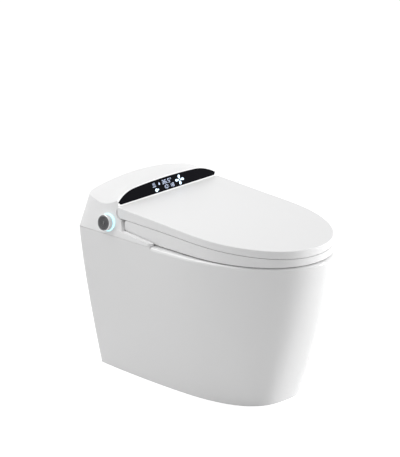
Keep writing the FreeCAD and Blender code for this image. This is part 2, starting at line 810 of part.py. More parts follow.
def rear_cover():
    body = housing_outside().cut(housing_inside())
    body = body.cut(sweep_groove(0.0))
    body = body.cut(display_plate(GLASS_FIT, -GLASS_THICKNESS - GLASS_SET_BACK, 6.0))
    body = body.cut(display_plate(-GLASS_LEDGE, -FRONT_WALL - 3.0, 1.0))
    body = body.cut(
        knob_place(rod(0, 0, -RING_THICKNESS + RING_PROUD, RING_OUTER + GLASS_FIT, 12, V(0, 0, 1)))
    )
    body = body.cut(knob_place(rod(0, 0, -12, ENCODER_RADIUS + 1.0, 24, V(0, 0, 1))))
    for x, half, _ in bracket_slots(PANEL_FIT):
        slot = box(
            x - half,
            x + half,
            HINGE_Y - LUG_RADIUS - 22,
            HINGE_Y + 16,
            RIM_HEIGHT + 12,
            HINGE_Z - 16,
        )
        body = body.cut(both(slot))
    throat = box(
        -NOTCH_HALF_WIDTH,
        NOTCH_HALF_WIDTH,
        HOUSING_START_Y - 2,
        PLATE_FRONT_Y + 4,
        RIM_HEIGHT - 2,
        RIM_HEIGHT + 30,
    )
    body = body.cut(throat).cut(reveal())
    return body.cut(rod(GLAND_X, REAR_Y - 20, GLAND_Z, GLAND_RADIUS, 40, V(0, 1, 0)))


def base_plate():
    """The inner chassis that the cover snaps over and the modules stand on."""
    low = RIM_HEIGHT
    half = SIDE_LEVELS[0][1] - HOUSING_WALL - PLATE_FIT - 4.0
    body = rounded_box(
        -half,
        half,
        PLATE_FRONT_Y,
        REAR_Y - HOUSING_WALL - PLATE_FIT,
        low,
        low + PLATE_THICKNESS,
        5.0,
    )
    mouth = box(
        -NOTCH_HALF_WIDTH,
        NOTCH_HALF_WIDTH,
        PLATE_FRONT_Y - 1,
        PLATE_MOUTH_Y,
        low - 1,
        low + PLATE_THICKNESS + 1,
    )
    body = body.cut(mouth)
    x, y = VALVE_AT
    body = body.cut(rod(x, y, low - 1, STUB_RADIUS + 3.0, PLATE_THICKNESS + 2, V(0, 0, 1)))
    return body.cut(
        rod(PUMP_NECK_X, PUMP_AT[1], low - 1, PUMP_NECK_RADIUS + 1.0, PLATE_THICKNESS + 2, V(0, 0, 1))
    )


def display_glass():
    return display_plate(0.0, -GLASS_THICKNESS - GLASS_SET_BACK, -GLASS_SET_BACK)


def display_board():
    back = -FRONT_WALL - 0.6
    body = display_plate(-GLASS_LEDGE - 2.0, back, back + BOARD_THICKNESS)
    return body


# ---- hinge
def hinge_bracket():
    """A moulded bracket with two ears that carry the hinge pin on the right hand side."""
    body = None
    low = RIM_HEIGHT + PLATE_THICKNESS
    for x, half, outline in bracket_slots(0.0):
        ear = side_prism(outline, x - half, x + half)
        ear = ear.fuse(rod(x - half, HINGE_Y, HINGE_Z, LUG_RADIUS, 2 * half, V(1, 0, 0)))
        body = ear if body is None else body.fuse(ear)
    foot = box(BRACKET_INNER_X, BRACKET_OUTER_X, PLATE_FRONT_Y + 8.0, PLATE_FRONT_Y + 22.0, low, low + 5.0)
    body = body.fuse(foot)
    start = BRACKET_INNER_X - LUG_WIDTH
    body = body.cut(
        rod(
            start,
            HINGE_Y,
            HINGE_Z,
            PIN_RADIUS,
            2 * LUG_WIDTH + BRACKET_OUTER_X - BRACKET_INNER_X,
            V(1, 0, 0),
        )
    )
    return body.removeSplitter()


def hinge_pin():
    start = BRACKET_INNER_X - LUG_WIDTH / 2.0 + 2.0
    end = BRACKET_OUTER_X + LUG_WIDTH / 2.0
    return rod(start, HINGE_Y, HINGE_Z, PIN_RADIUS, end - start, V(1, 0, 0))


def damper():
    """A rotary damper on the hinge line, inboard of the bracket."""
    end = BRACKET_INNER_X - LUG_WIDTH / 2.0 + 2.0
    body = rod(end - DAMPER_LENGTH, HINGE_Y, HINGE_Z, DAMPER_RADIUS, DAMPER_LENGTH, V(1, 0, 0))
    neck = rod(end - DAMPER_LENGTH - 8.0, HINGE_Y, HINGE_Z, DAMPER_RADIUS - 2.0, 8.0, V(1, 0, 0))
    return body.fuse(neck)


# ---- seam between lid and seat
def seam_z(y):
    """The height of the gently curved seam at y: a wide circle through its three given points."""
    (y1, z1), (y2, z2), (y3, z3) = SEAM_REAR, SEAM_MIDDLE, SEAM_FRONT
    a = z1 * (y - y2) * (y - y3) / ((y1 - y2) * (y1 - y3))
    b = z2 * (y - y1) * (y - y3) / ((y2 - y1) * (y2 - y3))
    c = z3 * (y - y1) * (y - y2) / ((y3 - y1) * (y3 - y2))
    return a + b + c


def seam_profile(drop, rear_y, corners):
    """A slab across the whole width between the seam, moved down by drop, and the given corners."""
    front_end = SEAM_FRONT[0]
    middle = (rear_y + front_end) / 2.0
    x = -SLAB_REACH
    seam = Part.Arc(*[V(x, y, seam_z(y) - drop) for y in (rear_y, middle, front_end)]).toShape()
    first = (front_end, seam_z(front_end) - drop)
    last = (rear_y, seam_z(rear_y) - drop)
    chain = [V(x, y, z) for y, z in [first] + corners + [last]]
    sides = [Part.makeLine(here, there) for here, there in zip(chain, chain[1:])]
    return Part.Face(Part.Wire([seam] + sides)).extrude(V(2 * SLAB_REACH, 0, 0))


# ---- lid
def lid_top(y, down=0.0):
    return LID_REAR_HEIGHT - down + (y - LID_REAR_Y) * math.tan(math.radians(LID_TILT))


def lid_slab(down, rear, low_drop):
    """The lid's thickness in the Y-Z plane: sloping top, seam below."""
    front = SEAM_FRONT[0]
    rear_top = LID_REAR_Y - rear
    corners = [(front, lid_top(front, down)), (rear_top, lid_top(rear_top, down))]
    return seam_profile(low_drop, rear_top, corners)


def lid_lug():
    half = LUG_WIDTH / 2.0 - LUG_SIDE_GAP
    x = LID_LUG_X
    hub = rod(x - half, HINGE_Y, HINGE_Z, LUG_RADIUS, 2 * half, V(1, 0, 0))
    reach = 26.0
    web = side_prism(
        [
            (HINGE_Y + LUG_RADIUS, HINGE_Z),
            (HINGE_Y + LUG_RADIUS, lid_top(HINGE_Y + LUG_RADIUS, LID_SKIN / 2)),
            (HINGE_Y - reach, lid_top(HINGE_Y - reach, LID_SKIN / 2)),
            (HINGE_Y - reach, HINGE_Z - 2.0),
            (HINGE_Y - 3.0, HINGE_Z - LUG_RADIUS + 0.8),
        ],
        x - half,
        x + half,
    )
    body = hub.fuse(web)
    return body.cut(
        rod(x - half - 1, HINGE_Y, HINGE_Z, PIN_RADIUS + PIN_CLEARANCE, 2 * half + 2, V(1, 0, 0))
    )


def lid_end(inset):
    """Everything ahead of the lid's rear end, which is round about the hinge line."""
    reach = SLAB_REACH
    ahead = box(-reach, reach, SEAT_FRONT_Y - 50, HINGE_Y, SEAT_BOTTOM, SHELL_TOP)
    return ahead.fuse(rod(-reach, HINGE_Y, HINGE_Z, LID_END_RADIUS - inset, 2 * reach, V(1, 0, 0)))


def lid_shell():
    body = seat_prism(0.0, 390.0, 470.0).common(lid_slab(0.0, 0.0, 0.0))
    high = [e for e in body.Edges if e.BoundBox.ZMax > lid_top(e.BoundBox.YMax) - 0.2]
    top = [e for e in high if e.BoundBox.ZMin > lid_top(e.BoundBox.YMin) - 0.2]
    body = body.makeFillet(LID_EDGE, top).common(lid_end(0.0))
    inside = seat_prism(LID_SIDE_WALL, 385.0, 475.0).common(lid_end(LID_SIDE_WALL))
    inside = inside.fuse(box(-LID_OPEN_HALF_WIDTH, LID_OPEN_HALF_WIDTH, LID_LINER_REAR_Y, 200, 385, 475))
    room = lid_slab(LID_SKIN, -12.0, 12.0)
    body = body.cut(inside.common(room))
    return body.fuse(both(lid_lug())).removeSplitter()


def lid_liner():
    """The flat inner panel that closes the hollow lid in front of the hinge."""
    body = seat_prism(LID_SIDE_WALL + PANEL_FIT, 385.0, 475.0).common(
        lid_slab(LID_SKIN + 4.0, 0.0, -LINER_LIFT)
    )
    body = body.cut(lid_slab(-20.0, -40.0, -LINER_LIFT - LID_LINER))
    return body.common(box(-220, 220, -400, LID_LINER_REAR_Y, 380, 480))


def bumper(x, y, top, bottom):
    return rounded_box(
        x - BUMPER_WIDTH / 2,
        x + BUMPER_WIDTH / 2,
        y - BUMPER_LENGTH / 2,
        y + BUMPER_LENGTH / 2,
        bottom,
        top,
        4.0,
    )


def lid_bumper(x, y):
    """A soft pad under the liner that the lid rests on the seat with."""
    body = bumper(x, y, lid_top(y), SEAM_FRONT[1])
    above = [(SEAM_FRONT[0], lid_top(0)), (LID_REAR_Y, lid_top(0))]
    body = body.common(seam_profile(SEAM_GAP - BUMPER_REST, LID_REAR_Y, above))
    return body.cut(seam_profile(-LINER_LIFT, LID_REAR_Y, above))


# ---- seat
def seat_slab(top_drop, raise_bottom, rear=0.0):
    """The seat's thickness in the Y-Z plane: seam above, level underside that rises to the rear."""
    rear_y = SEAT_REAR_Y - rear
    low = SEAT_BOTTOM + raise_bottom
    corners = [
        (SEAM_FRONT[0], low),
        (SEAT_RISE_Y, low),
        (blend(SEAT_RISE_Y, SEAT_REAR_Y, 0.5), blend(SEAT_BOTTOM, SEAT_REAR_BOTTOM, 0.36) + raise_bottom),
        (rear_y, SEAT_REAR_BOTTOM + raise_bottom),
    ]
    return seam_profile(top_drop, rear_y, corners)


def seat_opening(grow, z):
    return egg_wire(
        z,
        SEAT_HOLE_HALF_WIDTH + grow,
        SEAT_HOLE_WIDEST_Y,
        SEAT_HOLE_FRONT_Y - grow,
        SEAT_HOLE_REAR_Y + grow,
    )


def seat_hole(grow):
    return Part.Face(seat_opening(grow, 370.0)).extrude(V(0, 0, 90))


def seat_dish():
    """The hollow in the seat's top that falls towards the opening."""
    tilt = math.degrees(math.atan2(SEAM_REAR[1] - SEAM_FRONT[1], SEAM_REAR[0] - SEAM_FRONT[0]))
    wires = [
        seat_opening(SEAT_DISH_MARGIN, 0.0),
        seat_opening(SEAT_DISH_MARGIN * 0.45, -SEAT_DISH_DEPTH * 0.62),
        seat_opening(0.5, -SEAT_DISH_DEPTH),
    ]
    dish = loft(wires).fuse(Part.Face(seat_opening(SEAT_DISH_MARGIN, 0.0)).extrude(V(0, 0, 30)))
    middle = (SEAT_HOLE_FRONT_Y + SEAT_HOLE_REAR_Y) / 2.0
    share = (middle - SEAM_FRONT[0]) / (SEAM_REAR[0] - SEAM_FRONT[0])
    level = blend(SEAM_FRONT[1], SEAM_REAR[1], share) + 3.0 - SEAM_GAP
    dish.translate(V(0, -middle, 0))
    dish.rotate(V(0, 0, 0), V(1, 0, 0), tilt)
    dish.translate(V(0, middle, level))
    return dish


def seat_lug():
    half = LUG_WIDTH / 2.0 - LUG_SIDE_GAP
    x = SEAT_LUG_X
    hub = rod(x - half, HINGE_Y, HINGE_Z, LUG_RADIUS, 2 * half, V(1, 0, 0))
    neck = side_prism(
        [
            (HINGE_Y - LUG_RADIUS, HINGE_Z + 1.0),
            (HINGE_Y - LUG_RADIUS - 16.0, SEAM_REAR[1] + 3.0),
            (HINGE_Y - LUG_RADIUS - 24.0, SEAM_REAR[1] - SEAM_GAP - 3.0),
            (SEAT_REAR_Y - 2.0, SEAM_REAR[1] - SEAM_GAP - 3.0),
            (SEAT_REAR_Y - 1.0, SEAM_REAR[1] + 2.0),
            (HINGE_Y + 2.0, HINGE_Z - LUG_RADIUS + 0.4),
            (HINGE_Y + 2.0, HINGE_Z),
        ],
        x - half,
        x + half,
    )
    body = hub.fuse(neck)
    return body.cut(
        rod(x - half - 1, HINGE_Y, HINGE_Z, PIN_RADIUS + PIN_CLEARANCE, 2 * half + 2, V(1, 0, 0))
    )


def seat_outside():
    body = seat_prism(0.0, 370.0, 450.0).common(seat_slab(SEAM_GAP, 0.0))
    rear = [e for e in body.Edges if abs(e.CenterOfMass.y - SEAT_REAR_Y) < 0.5]
    low = [e for e in rear if e.BoundBox.ZMax < SEAT_REAR_BOTTOM + 2]
    body = body.makeFillet(SEAT_REAR_ROUND, low)
    high = [
        e for e in body.Edges
        if abs(e.CenterOfMass.y - SEAT_REAR_Y) < 0.5 and e.BoundBox.ZMin > SEAM_REAR[1] - SEAM_GAP - 2
    ]
    return body.makeFillet(SEAT_REAR_TOP_ROUND, high)


def seat_top():
    body = seat_outside().cut(seat_hole(0.0)).cut(seat_dish())
    room = seat_prism(SEAT_WALL, 370.0, 450.0).common(
        seat_slab(SEAM_GAP + SEAT_DISH_DEPTH + SEAT_WALL, -5.0, SEAT_WALL)
    )
    room = room.cut(seat_hole(SEAT_WALL))
    body = body.cut(room)
    return body.fuse(both(seat_lug())).removeSplitter()


def seat_base():
    """The lower plate that closes the seat's hollow."""
    body = seat_prism(SEAT_WALL + PANEL_FIT, 370.0, 450.0).common(
        seat_slab(SEAM_GAP + SEAT_WALL, 0.4, SEAT_WALL + PANEL_FIT)
    )
    body = body.cut(seat_slab(-30.0, 0.4 + SEAT_BASE_THICKNESS, -20.0))
    return body.cut(seat_hole(SEAT_WALL + PANEL_FIT))


def seat_heater():
    """The heating foil under the seat's top skin."""
    top = SEAM_GAP + SEAT_DISH_DEPTH + SEAT_WALL + 0.3
    body = seat_prism(SEAT_WALL + 6.0, 370.0, 450.0).common(seat_slab(top, 0.0, 24.0))
    body = body.cut(seat_slab(top + HEATER_THICKNESS, -20.0, -20.0))
    body = body.cut(seat_hole(SEAT_WALL + 6.0))
    return body.common(box(-220, 220, -400, SEAT_HOLE_REAR_Y + 60.0, 380, 440))


# ---- knob
def light_ring():
    low = -RING_THICKNESS + RING_PROUD
    ring = rod(0, 0, low, RING_OUTER, RING_THICKNESS, V(0, 0, 1))
    return knob_place(ring.cut(rod(0, 0, low - 1, RING_INNER, RING_THICKNESS + 2, V(0, 0, 1))))


def knob_body():
    body = rod(0, 0, KNOB_LIFT, KNOB_RADIUS, KNOB_HEIGHT, V(0, 0, 1))
    outer = [e for e in body.Edges if e.CenterOfMass.z > KNOB_LIFT + KNOB_HEIGHT - 0.1]
    body = body.makeFillet(1.0, outer)
    body = body.cut(rod(0, 0, KNOB_LIFT - 1, KNOB_RADIUS - KNOB_WALL, KNOB_HEIGHT - 5.0, V(0, 0, 1)))
    groove = rod(KNOB_RADIUS + 0.35, 0, KNOB_LIFT - 1, 0.75, 6.0, V(0, 0, 1))
    for n in range(KNOB_RIBS):
        cutter = groove.copy()
        cutter.rotate(V(0, 0, 0), V(0, 0, 1), 360.0 * n / KNOB_RIBS)
        body = body.cut(cutter)
    body = body.cut(
        rod(0, 0, KNOB_LIFT + KNOB_HEIGHT - KNOB_FACE_THICKNESS, KNOB_FACE_RADIUS, 4, V(0, 0, 1))
    )
    length = KNOB_LIFT + KNOB_HEIGHT - 5.0 + SLEEVE_LENGTH
    shaft = rod(0, 0, -SLEEVE_LENGTH, SHAFT_RADIUS, length, V(0, 0, 1))
    shaft = shaft.cut(box(-5, 5, SHAFT_FLAT, 8, -SLEEVE_LENGTH - 1, KNOB_TRAVEL + 0.3))
    return knob_place(body.fuse(shaft))


def knob_face():
    low = KNOB_LIFT + KNOB_HEIGHT - KNOB_FACE_THICKNESS
    return knob_place(rod(0, 0, low, KNOB_FACE_RADIUS - 0.1, KNOB_FACE_THICKNESS + 0.3, V(0, 0, 1)))


def encoder_low():
    return -SLEEVE_LENGTH - KNOB_TRAVEL - 1.8


def knob_sleeve():
    """The encoder's rotor: it turns with the knob while the shaft slides in it."""
    body = rod(0, 0, encoder_low() + 1.0, SLEEVE_RADIUS, SLEEVE_LENGTH + KNOB_TRAVEL, V(0, 0, 1))
    bore = rod(0, 0, encoder_low() - 1, SHAFT_RADIUS + 0.1, SLEEVE_LENGTH + 12, V(0, 0, 1))
    bore = bore.cut(box(-6, 6, SHAFT_FLAT + 0.1, 9, encoder_low() - 2, 20))
    return knob_place(body.cut(bore))


def knob_encoder():
    low = encoder_low() - 2.0
    body = rod(0, 0, low, ENCODER_RADIUS, ENCODER_LENGTH, V(0, 0, 1))
    return knob_place(
        body.cut(rod(0, 0, encoder_low(), SLEEVE_RADIUS + TURN_CLEARANCE, ENCODER_LENGTH + 2, V(0, 0, 1)))
    )


# ---- wash wand, made along +Y (backwards) from its spray end and then sloped
def wand_place(shape):
    """Slopes a shape made along +Y from its front end at the origin onto the wand's line."""
    turn = FreeCAD.Placement(V(WAND_X, WAND_Y, WAND_Z), FreeCAD.Rotation(V(1, 0, 0), WAND_SLOPE))
    shape.Placement = turn.multiply(shape.Placement)
    return shape


def rack_teeth(length):
    """Straight rack teeth on top of the wand, for the pinion."""
    pitch = math.pi * TOOTH_MODULE
    slope = math.tan(math.radians(PRESSURE_ANGLE))
    line = RACK_ROOT + 1.25 * TOOTH_MODULE
    half = pitch / 4.0
    base = half + 1.25 * TOOTH_MODULE * slope
    tip = half - TOOTH_MODULE * slope
    count = int(length / pitch)
    outline = [(0.0, WAND_RADIUS - 1.5), (0.0, RACK_ROOT)]
    for n in range(count):
        middle = (n + 0.5) * pitch
        outline += [
            (middle - base, RACK_ROOT),
            (middle - tip, line + TOOTH_MODULE),
            (middle + tip, line + TOOTH_MODULE),
            (middle + base, RACK_ROOT),
        ]
    outline += [(count * pitch, RACK_ROOT), (count * pitch, WAND_RADIUS - 1.5)]
    return side_prism(outline, -RACK_WIDTH / 2, RACK_WIDTH / 2)


def rack_start():
    return WAND_LENGTH - math.pi * TOOTH_MODULE * int((WAND_TRAVEL + RACK_SPARE) / (math.pi * TOOTH_MODULE))


def wand_tube():
    body = rod(0, WAND_TIP, 0, WAND_RADIUS, WAND_LENGTH - WAND_TIP, V(0, 1, 0))
    teeth = rack_teeth(WAND_LENGTH - rack_start() + 0.5)
    teeth.translate(V(0, rack_start(), 0))
    body = body.fuse(teeth)
    return wand_place(body.cut(rod(0, WAND_TIP - 1, 0, WAND_BORE, WAND_LENGTH - WAND_TIP - 6, V(0, 1, 0))))


def wand_tip():
    body = rod(0, 0, 0, WAND_RADIUS - 0.2, WAND_TIP, V(0, 1, 0))
    body = body.cut(rod(0, 3, 0, WAND_BORE, WAND_TIP, V(0, 1, 0)))
    for x in (-2.0, 0.0, 2.0):
        body = body.cut(rod(x, 7.0, 0, SPRAY_HOLE, WAND_RADIUS + 1, V(0, 0, 1)))
    return wand_place(body)


def wand_shield():
    """The small cap in front of the wand that closes its hole in the fascia."""
    return wand_place(rod(0, -SHIELD_THICKNESS, 0, SHIELD_RADIUS, SHIELD_THICKNESS, V(0, 1, 0)))


def involute(base, turn, side, offset):
    """A point on the involute of a circle of radius base."""
    x = base * (math.cos(turn) + turn * math.sin(turn))
    y = base * (math.sin(turn) - turn * math.cos(turn)) * side
    return V(x * math.cos(offset) - y * math.sin(offset), x * math.sin(offset) + y * math.cos(offset), 0)


def pinion_radius():
    return TOOTH_MODULE * PINION_TEETH / 2.0


def wand_pinion():
    """An involute pinion that rolls on the wand's rack."""
    pitch = pinion_radius()
    base = pitch * math.cos(math.radians(PRESSURE_ANGLE))
    outer = pitch + TOOTH_MODULE * 0.95
    root = pitch - 1.2 * TOOTH_MODULE
    at_pitch = math.tan(math.radians(PRESSURE_ANGLE)) - math.radians(PRESSURE_ANGLE)
    half_tooth = math.pi / (2.0 * PINION_TEETH) - BACKLASH / (2.0 * pitch)
    swing = math.sqrt((outer / base) ** 2 - 1.0)
    tooth_edges = []
    spacing = 2.0 * math.pi / PINION_TEETH
    for n in range(PINION_TEETH):
        middle = n * spacing
        low = middle - half_tooth - at_pitch
        high = middle + half_tooth + at_pitch
        up = [involute(base, swing * k / 5.0, 1, low) for k in range(6)]
        down = [involute(base, swing * k / 5.0, -1, high) for k in range(5, -1, -1)]
        foot_low = V(root * math.cos(low), root * math.sin(low), 0)
        foot_high = V(root * math.cos(high), root * math.sin(high), 0)
        crest = V(outer * math.cos(middle), outer * math.sin(middle), 0)
        following = low + spacing
        valley = (high + following) / 2.0
        tooth_edges += [
            Part.makeLine(foot_low, up[0]),
            spline(up),
            Part.Arc(up[-1], crest, down[0]).toShape(),
            spline(down),
            Part.makeLine(down[-1], foot_high),
            Part.Arc(
                foot_high,
                V(root * math.cos(valley), root * math.sin(valley), 0),
                V(root * math.cos(following), root * math.sin(following), 0),
            ).toShape(),
        ]
    gear = Part.Face(Part.Wire(tooth_edges)).extrude(V(0, 0, PINION_WIDTH))
    gear = gear.cut(rod(0, 0, -1, PINION_BORE, PINION_WIDTH + 2, V(0, 0, 1)))
    gear.rotate(V(0, 0, 0), V(0, 0, 1), -90.0)
    gear.rotate(V(0, 0, 0), V(1, 0, 0), 90.0)
    gear.rotate(V(0, 0, 0), V(0, 0, 1), 90.0)
    gear.translate(V(-PINION_WIDTH / 2, pinion_at(), pinion_height()))
    return wand_place(gear)


def pinion_at():
    """The pinion stands over the middle of a gap between two rack teeth."""
    return rack_start() + math.pi * TOOTH_MODULE


def pinion_height():
    return RACK_ROOT + 1.25 * TOOTH_MODULE + pinion_radius()


def wand_guide():
    """The moulded guide that the wand slides in, with an open top for the pinion."""
    half = WAND_RADIUS + GUIDE_CLEARANCE
    outer = half + GUIDE_WALL
    body = box(-outer, outer, GUIDE_START, GUIDE_START + GUIDE_LENGTH, -outer, outer + 2.5)
    body = body.cut(rod(0, GUIDE_START - 1, 0, half, GUIDE_LENGTH + 2, V(0, 1, 0)))
    track = RACK_WIDTH / 2 + 1.2
    body = body.cut(box(-track, track, GUIDE_START - 1, GUIDE_START + GUIDE_LENGTH + 1, 0, outer + 4))
    foot_y = WAND_Y + (GUIDE_START + GUIDE_LENGTH) * 0.62
    low = RIM_HEIGHT + PLATE_THICKNESS
    foot = side_prism(
        [(foot_y, low), (foot_y, low + 60), (foot_y + 50, low + 60), (foot_y + 50, low)],
        WAND_X - 8,
        WAND_X + 8,
    )
    bore = wand_place(rod(0, GUIDE_START - 1, 0, half + 1.0, GUIDE_LENGTH + 2, V(0, 1, 0)))
    above = wand_place(box(-40, 40, -20, WAND_LENGTH + 60, -half, 120))
    return wand_place(body).fuse(foot.cut(bore).cut(above))


def wand_motor():
    """The stepper motor beside the guide, with its shaft through the pinion."""
    start = WAND_RADIUS + GUIDE_CLEARANCE + GUIDE_WALL + 0.6
    body = rod(start, pinion_at(), pinion_height(), STEPPER_RADIUS, STEPPER_LENGTH, V(1, 0, 0))
    shaft_start = -PINION_WIDTH / 2 - 1.0
    shaft = rod(
        shaft_start,
        pinion_at(),
        pinion_height(),
        PINION_BORE - TURN_CLEARANCE,
        start - shaft_start,
        V(1, 0, 0),
    )
    return wand_place(body.fuse(shaft))


# ---- fascia, dryer flap and duct
def wash_fascia():
    """The upright panel at the back of the bowl with the wand's hole and the dryer's outlet."""
    low = NOTCH_FLOOR + FASCIA_FIT
    high = RIM_HEIGHT - FASCIA_FIT
    half = NOTCH_HALF_WIDTH - FASCIA_FIT
    body = box(-half, half, FASCIA_Y, FASCIA_Y + FASCIA_THICKNESS, low, high)
    hole = wand_place(rod(0, -40, 0, SHIELD_RADIUS + 0.8, 60, V(0, 1, 0)))
    body = body.cut(hole)
    outlet = box(
        DRYER_X - DRYER_WIDTH / 2,
        DRYER_X + DRYER_WIDTH / 2,
        FASCIA_Y - 1,
        FASCIA_Y + FASCIA_THICKNESS + 1,
        DRYER_Z - DRYER_HEIGHT / 2,
        DRYER_Z + DRYER_HEIGHT / 2,
    )
    return body.cut(outlet)


def dryer_flap():
    """The flap over the warm air outlet, hung from its top edge."""
    half = DRYER_WIDTH / 2 - FLAP_GAP
    top = DRYER_Z + DRYER_HEIGHT / 2 - FLAP_GAP
    y = FASCIA_Y + FASCIA_THICKNESS / 2
    plate = box(
        DRYER_X - half,
        DRYER_X + half,
        y - FLAP_THICKNESS / 2,
        y + FLAP_THICKNESS / 2,
        DRYER_Z - DRYER_HEIGHT / 2 + FLAP_GAP,
        top - FLAP_PIN_RADIUS,
    )
    hub = rod(DRYER_X - half, y, top - FLAP_PIN_RADIUS, FLAP_PIN_RADIUS, 2 * half, V(1, 0, 0))
    return plate.fuse(hub)


def dryer_duct():
    """The sloping duct from the fan to the outlet."""
    start = FASCIA_Y + FASCIA_THICKNESS + 0.2
    line = [(start, DRYER_Z), (SEAT_REAR_Y, DUCT_MIDDLE_Z), (FAN_Y - FAN_RADIUS + 6.0, DUCT_REAR_Z)]
    half = DRYER_WIDTH / 2 + DUCT_WALL
    tall = DRYER_HEIGHT / 2 + DUCT_WALL
    outside = side_prism(
        [(y, z + tall) for y, z in line] + [(y, z - tall) for y, z in reversed(line)],
        DRYER_X - half,
        DRYER_X + half,
    )
    half -= DUCT_WALL
    tall -= DUCT_WALL
    line = [(start - 1, line[0][1])] + line[1:2] + [(line[2][0] + 1, line[2][1])]
    inside = side_prism(
        [(y, z + tall) for y, z in line] + [(y, z - tall) for y, z in reversed(line)],
        DRYER_X - half,
        DRYER_X + half,
    )
    case = rod(FAN_X, FAN_Y, FAN_Z - 40, FAN_RADIUS + SCROLL_GAP + SCROLL_WALL + 0.3, 100, V(0, 0, 1))
    return outside.cut(inside).cut(case)


def fan_housing():
    """The round fan case on the base plate, open at its front for the duct."""
    low = FAN_Z
    outer = FAN_RADIUS + SCROLL_GAP + SCROLL_WALL
    body = rod(FAN_X, FAN_Y, low, outer, FAN_HEIGHT + 2 * SCROLL_WALL + 2, V(0, 0, 1))
    body = body.cut(rod(FAN_X, FAN_Y, low + SCROLL_WALL, outer - SCROLL_WALL, FAN_HEIGHT + 2, V(0, 0, 1)))
    body = body.cut(rod(FAN_X, FAN_Y, low + FAN_HEIGHT, FAN_RADIUS * 0.55, 20, V(0, 0, 1)))
    body = body.cut(rod(FAN_X, FAN_Y, low - 1, 3.0, SCROLL_WALL + 2, V(0, 0, 1)))
    mouth = box(
        FAN_X - 24,
        FAN_X - 8,
        FAN_Y - outer - 2,
        FAN_Y - FAN_RADIUS * 0.7,
        low + SCROLL_WALL,
        low + 14,
    )
    return body.cut(mouth)


def fan_wheel():
    """The centrifugal fan: a disc with curved blades round a hub."""
    low = FAN_Z + SCROLL_WALL + 1.0
    body = rod(0, 0, 0, FAN_RADIUS, 2.0, V(0, 0, 1)).fuse(rod(0, 0, 0, 8.0, FAN_HEIGHT - 4, V(0, 0, 1)))
    inner = FAN_RADIUS * 0.62
    for n in range(FAN_BLADES):
        outside = Part.Arc(
            V(inner, 0, 0),
            V((inner + FAN_RADIUS) / 2, 3.2, 0),
            V(FAN_RADIUS - 0.5, 3.6, 0),
        ).toShape()
        tip = Part.makeLine(V(FAN_RADIUS - 0.5, 3.6, 0), V(FAN_RADIUS - 0.4, 2.4, 0))
        inside = Part.Arc(
            V(FAN_RADIUS - 0.4, 2.4, 0),
            V((inner + FAN_RADIUS) / 2, 1.9, 0),
            V(inner + 0.6, -0.9, 0),
        ).toShape()
        close = Part.makeLine(V(inner + 0.6, -0.9, 0), V(inner, 0, 0))
        blade = Part.Face(Part.Wire([outside, tip, inside, close])).extrude(V(0, 0, FAN_HEIGHT - 4))
        blade.rotate(V(0, 0, 0), V(0, 0, 1), 360.0 * n / FAN_BLADES)
        body = body.fuse(blade)
    body = body.cut(rod(0, 0, -1, 2.0, FAN_HEIGHT, V(0, 0, 1)))
    body.translate(V(FAN_X, FAN_Y, low))
    return body


def fan_motor():
    top = FAN_Z + SCROLL_WALL
    shaft = rod(FAN_X, FAN_Y, top - 2, 2.0 - TURN_CLEARANCE, FAN_HEIGHT - 2, V(0, 0, 1))
    case = rod(
        FAN_X,
        FAN_Y,
        RIM_HEIGHT + PLATE_THICKNESS,
        15.0,
        top - RIM_HEIGHT - PLATE_THICKNESS - SCROLL_WALL,
        V(0, 0, 1),
    )
    return case.fuse(shaft)


# ---- modules on the base plate
def module(size, at, radius):
    low = RIM_HEIGHT + PLATE_THICKNESS
    x, y = at
    return rounded_box(
        x - size[0] / 2,
        x + size[0] / 2,
        y - size[1] / 2,
        y + size[1] / 2,
        low,
        low + size[2],
        radius,
    )


def water_heater():
    """The instant heater: a rounded tank with a bolted flange round it and two hose nozzles."""
    length, depth, height = HEATER_BOX
    body = module(HEATER_BOX, HEATER_AT, HEATER_CORNER)
    x, y = HEATER_AT
    middle = RIM_HEIGHT + PLATE_THICKNESS + height * 0.5
    rim = HEATER_FLANGE
    flange = rounded_box(
        x - length / 2 - rim,
        x + length / 2 + rim,
        y - depth / 2 - rim,
        y + depth / 2 + rim,
        middle - rim / 2,
        middle + rim / 2,
        HEATER_CORNER + rim,
    )
    body = body.fuse(flange)
    top = RIM_HEIGHT + PLATE_THICKNESS + height
    for side in (-1, 1):
        at = y + side * depth * 0.3
        body = body.fuse(rod(x, at, top - 1, NOZZLE_RADIUS, NOZZLE_LENGTH + 1, V(0, 0, 1)))
        body = body.cut(rod(x, at, top - 2, NOZZLE_BORE, NOZZLE_LENGTH + 3, V(0, 0, 1)))
    return body


def control_board():
    low = RIM_HEIGHT + PLATE_THICKNESS + 6.0
    x, y = BOARD_AT
    body = box(
        x - BOARD_BOX[0] / 2,
        x + BOARD_BOX[0] / 2,
        y - BOARD_BOX[1] / 2,
        y + BOARD_BOX[1] / 2,
        low,
        low + BOARD_BOX[2],
    )
    for dx in (-1, 1):
        for dy in (-1, 1):
            body = body.fuse(
                rod(
                    x + dx * (BOARD_BOX[0] / 2 - 4),
                    y + dy * (BOARD_BOX[1] / 2 - 4),
                    low - 6.0,
                    2.5,
                    6.0,
                    V(0, 0, 1),
                )
            )
    for n in range(3):
        body = body.fuse(box(x - 14, x + 2, y - 34 + 24 * n, y - 20 + 24 * n, low + 1, low + 10 + 3 * n))
    return body


def power_supply():
    """The sealed supply: a case with cooling fins along its top."""
    body = module(POWER_BOX, POWER_AT, 3.0)
    x, y = POWER_AT
    top = RIM_HEIGHT + PLATE_THICKNESS + POWER_BOX[2]
    first = y - POWER_BOX[1] / 2 + FIN_PITCH
    for n in range(int(POWER_BOX[1] / FIN_PITCH) - 1):
        at = first + n * FIN_PITCH
        body = body.cut(
            box(x - POWER_BOX[0], x + POWER_BOX[0], at, at + FIN_PITCH / 2, top - FIN_DEPTH, top + 1)
        )
    return body


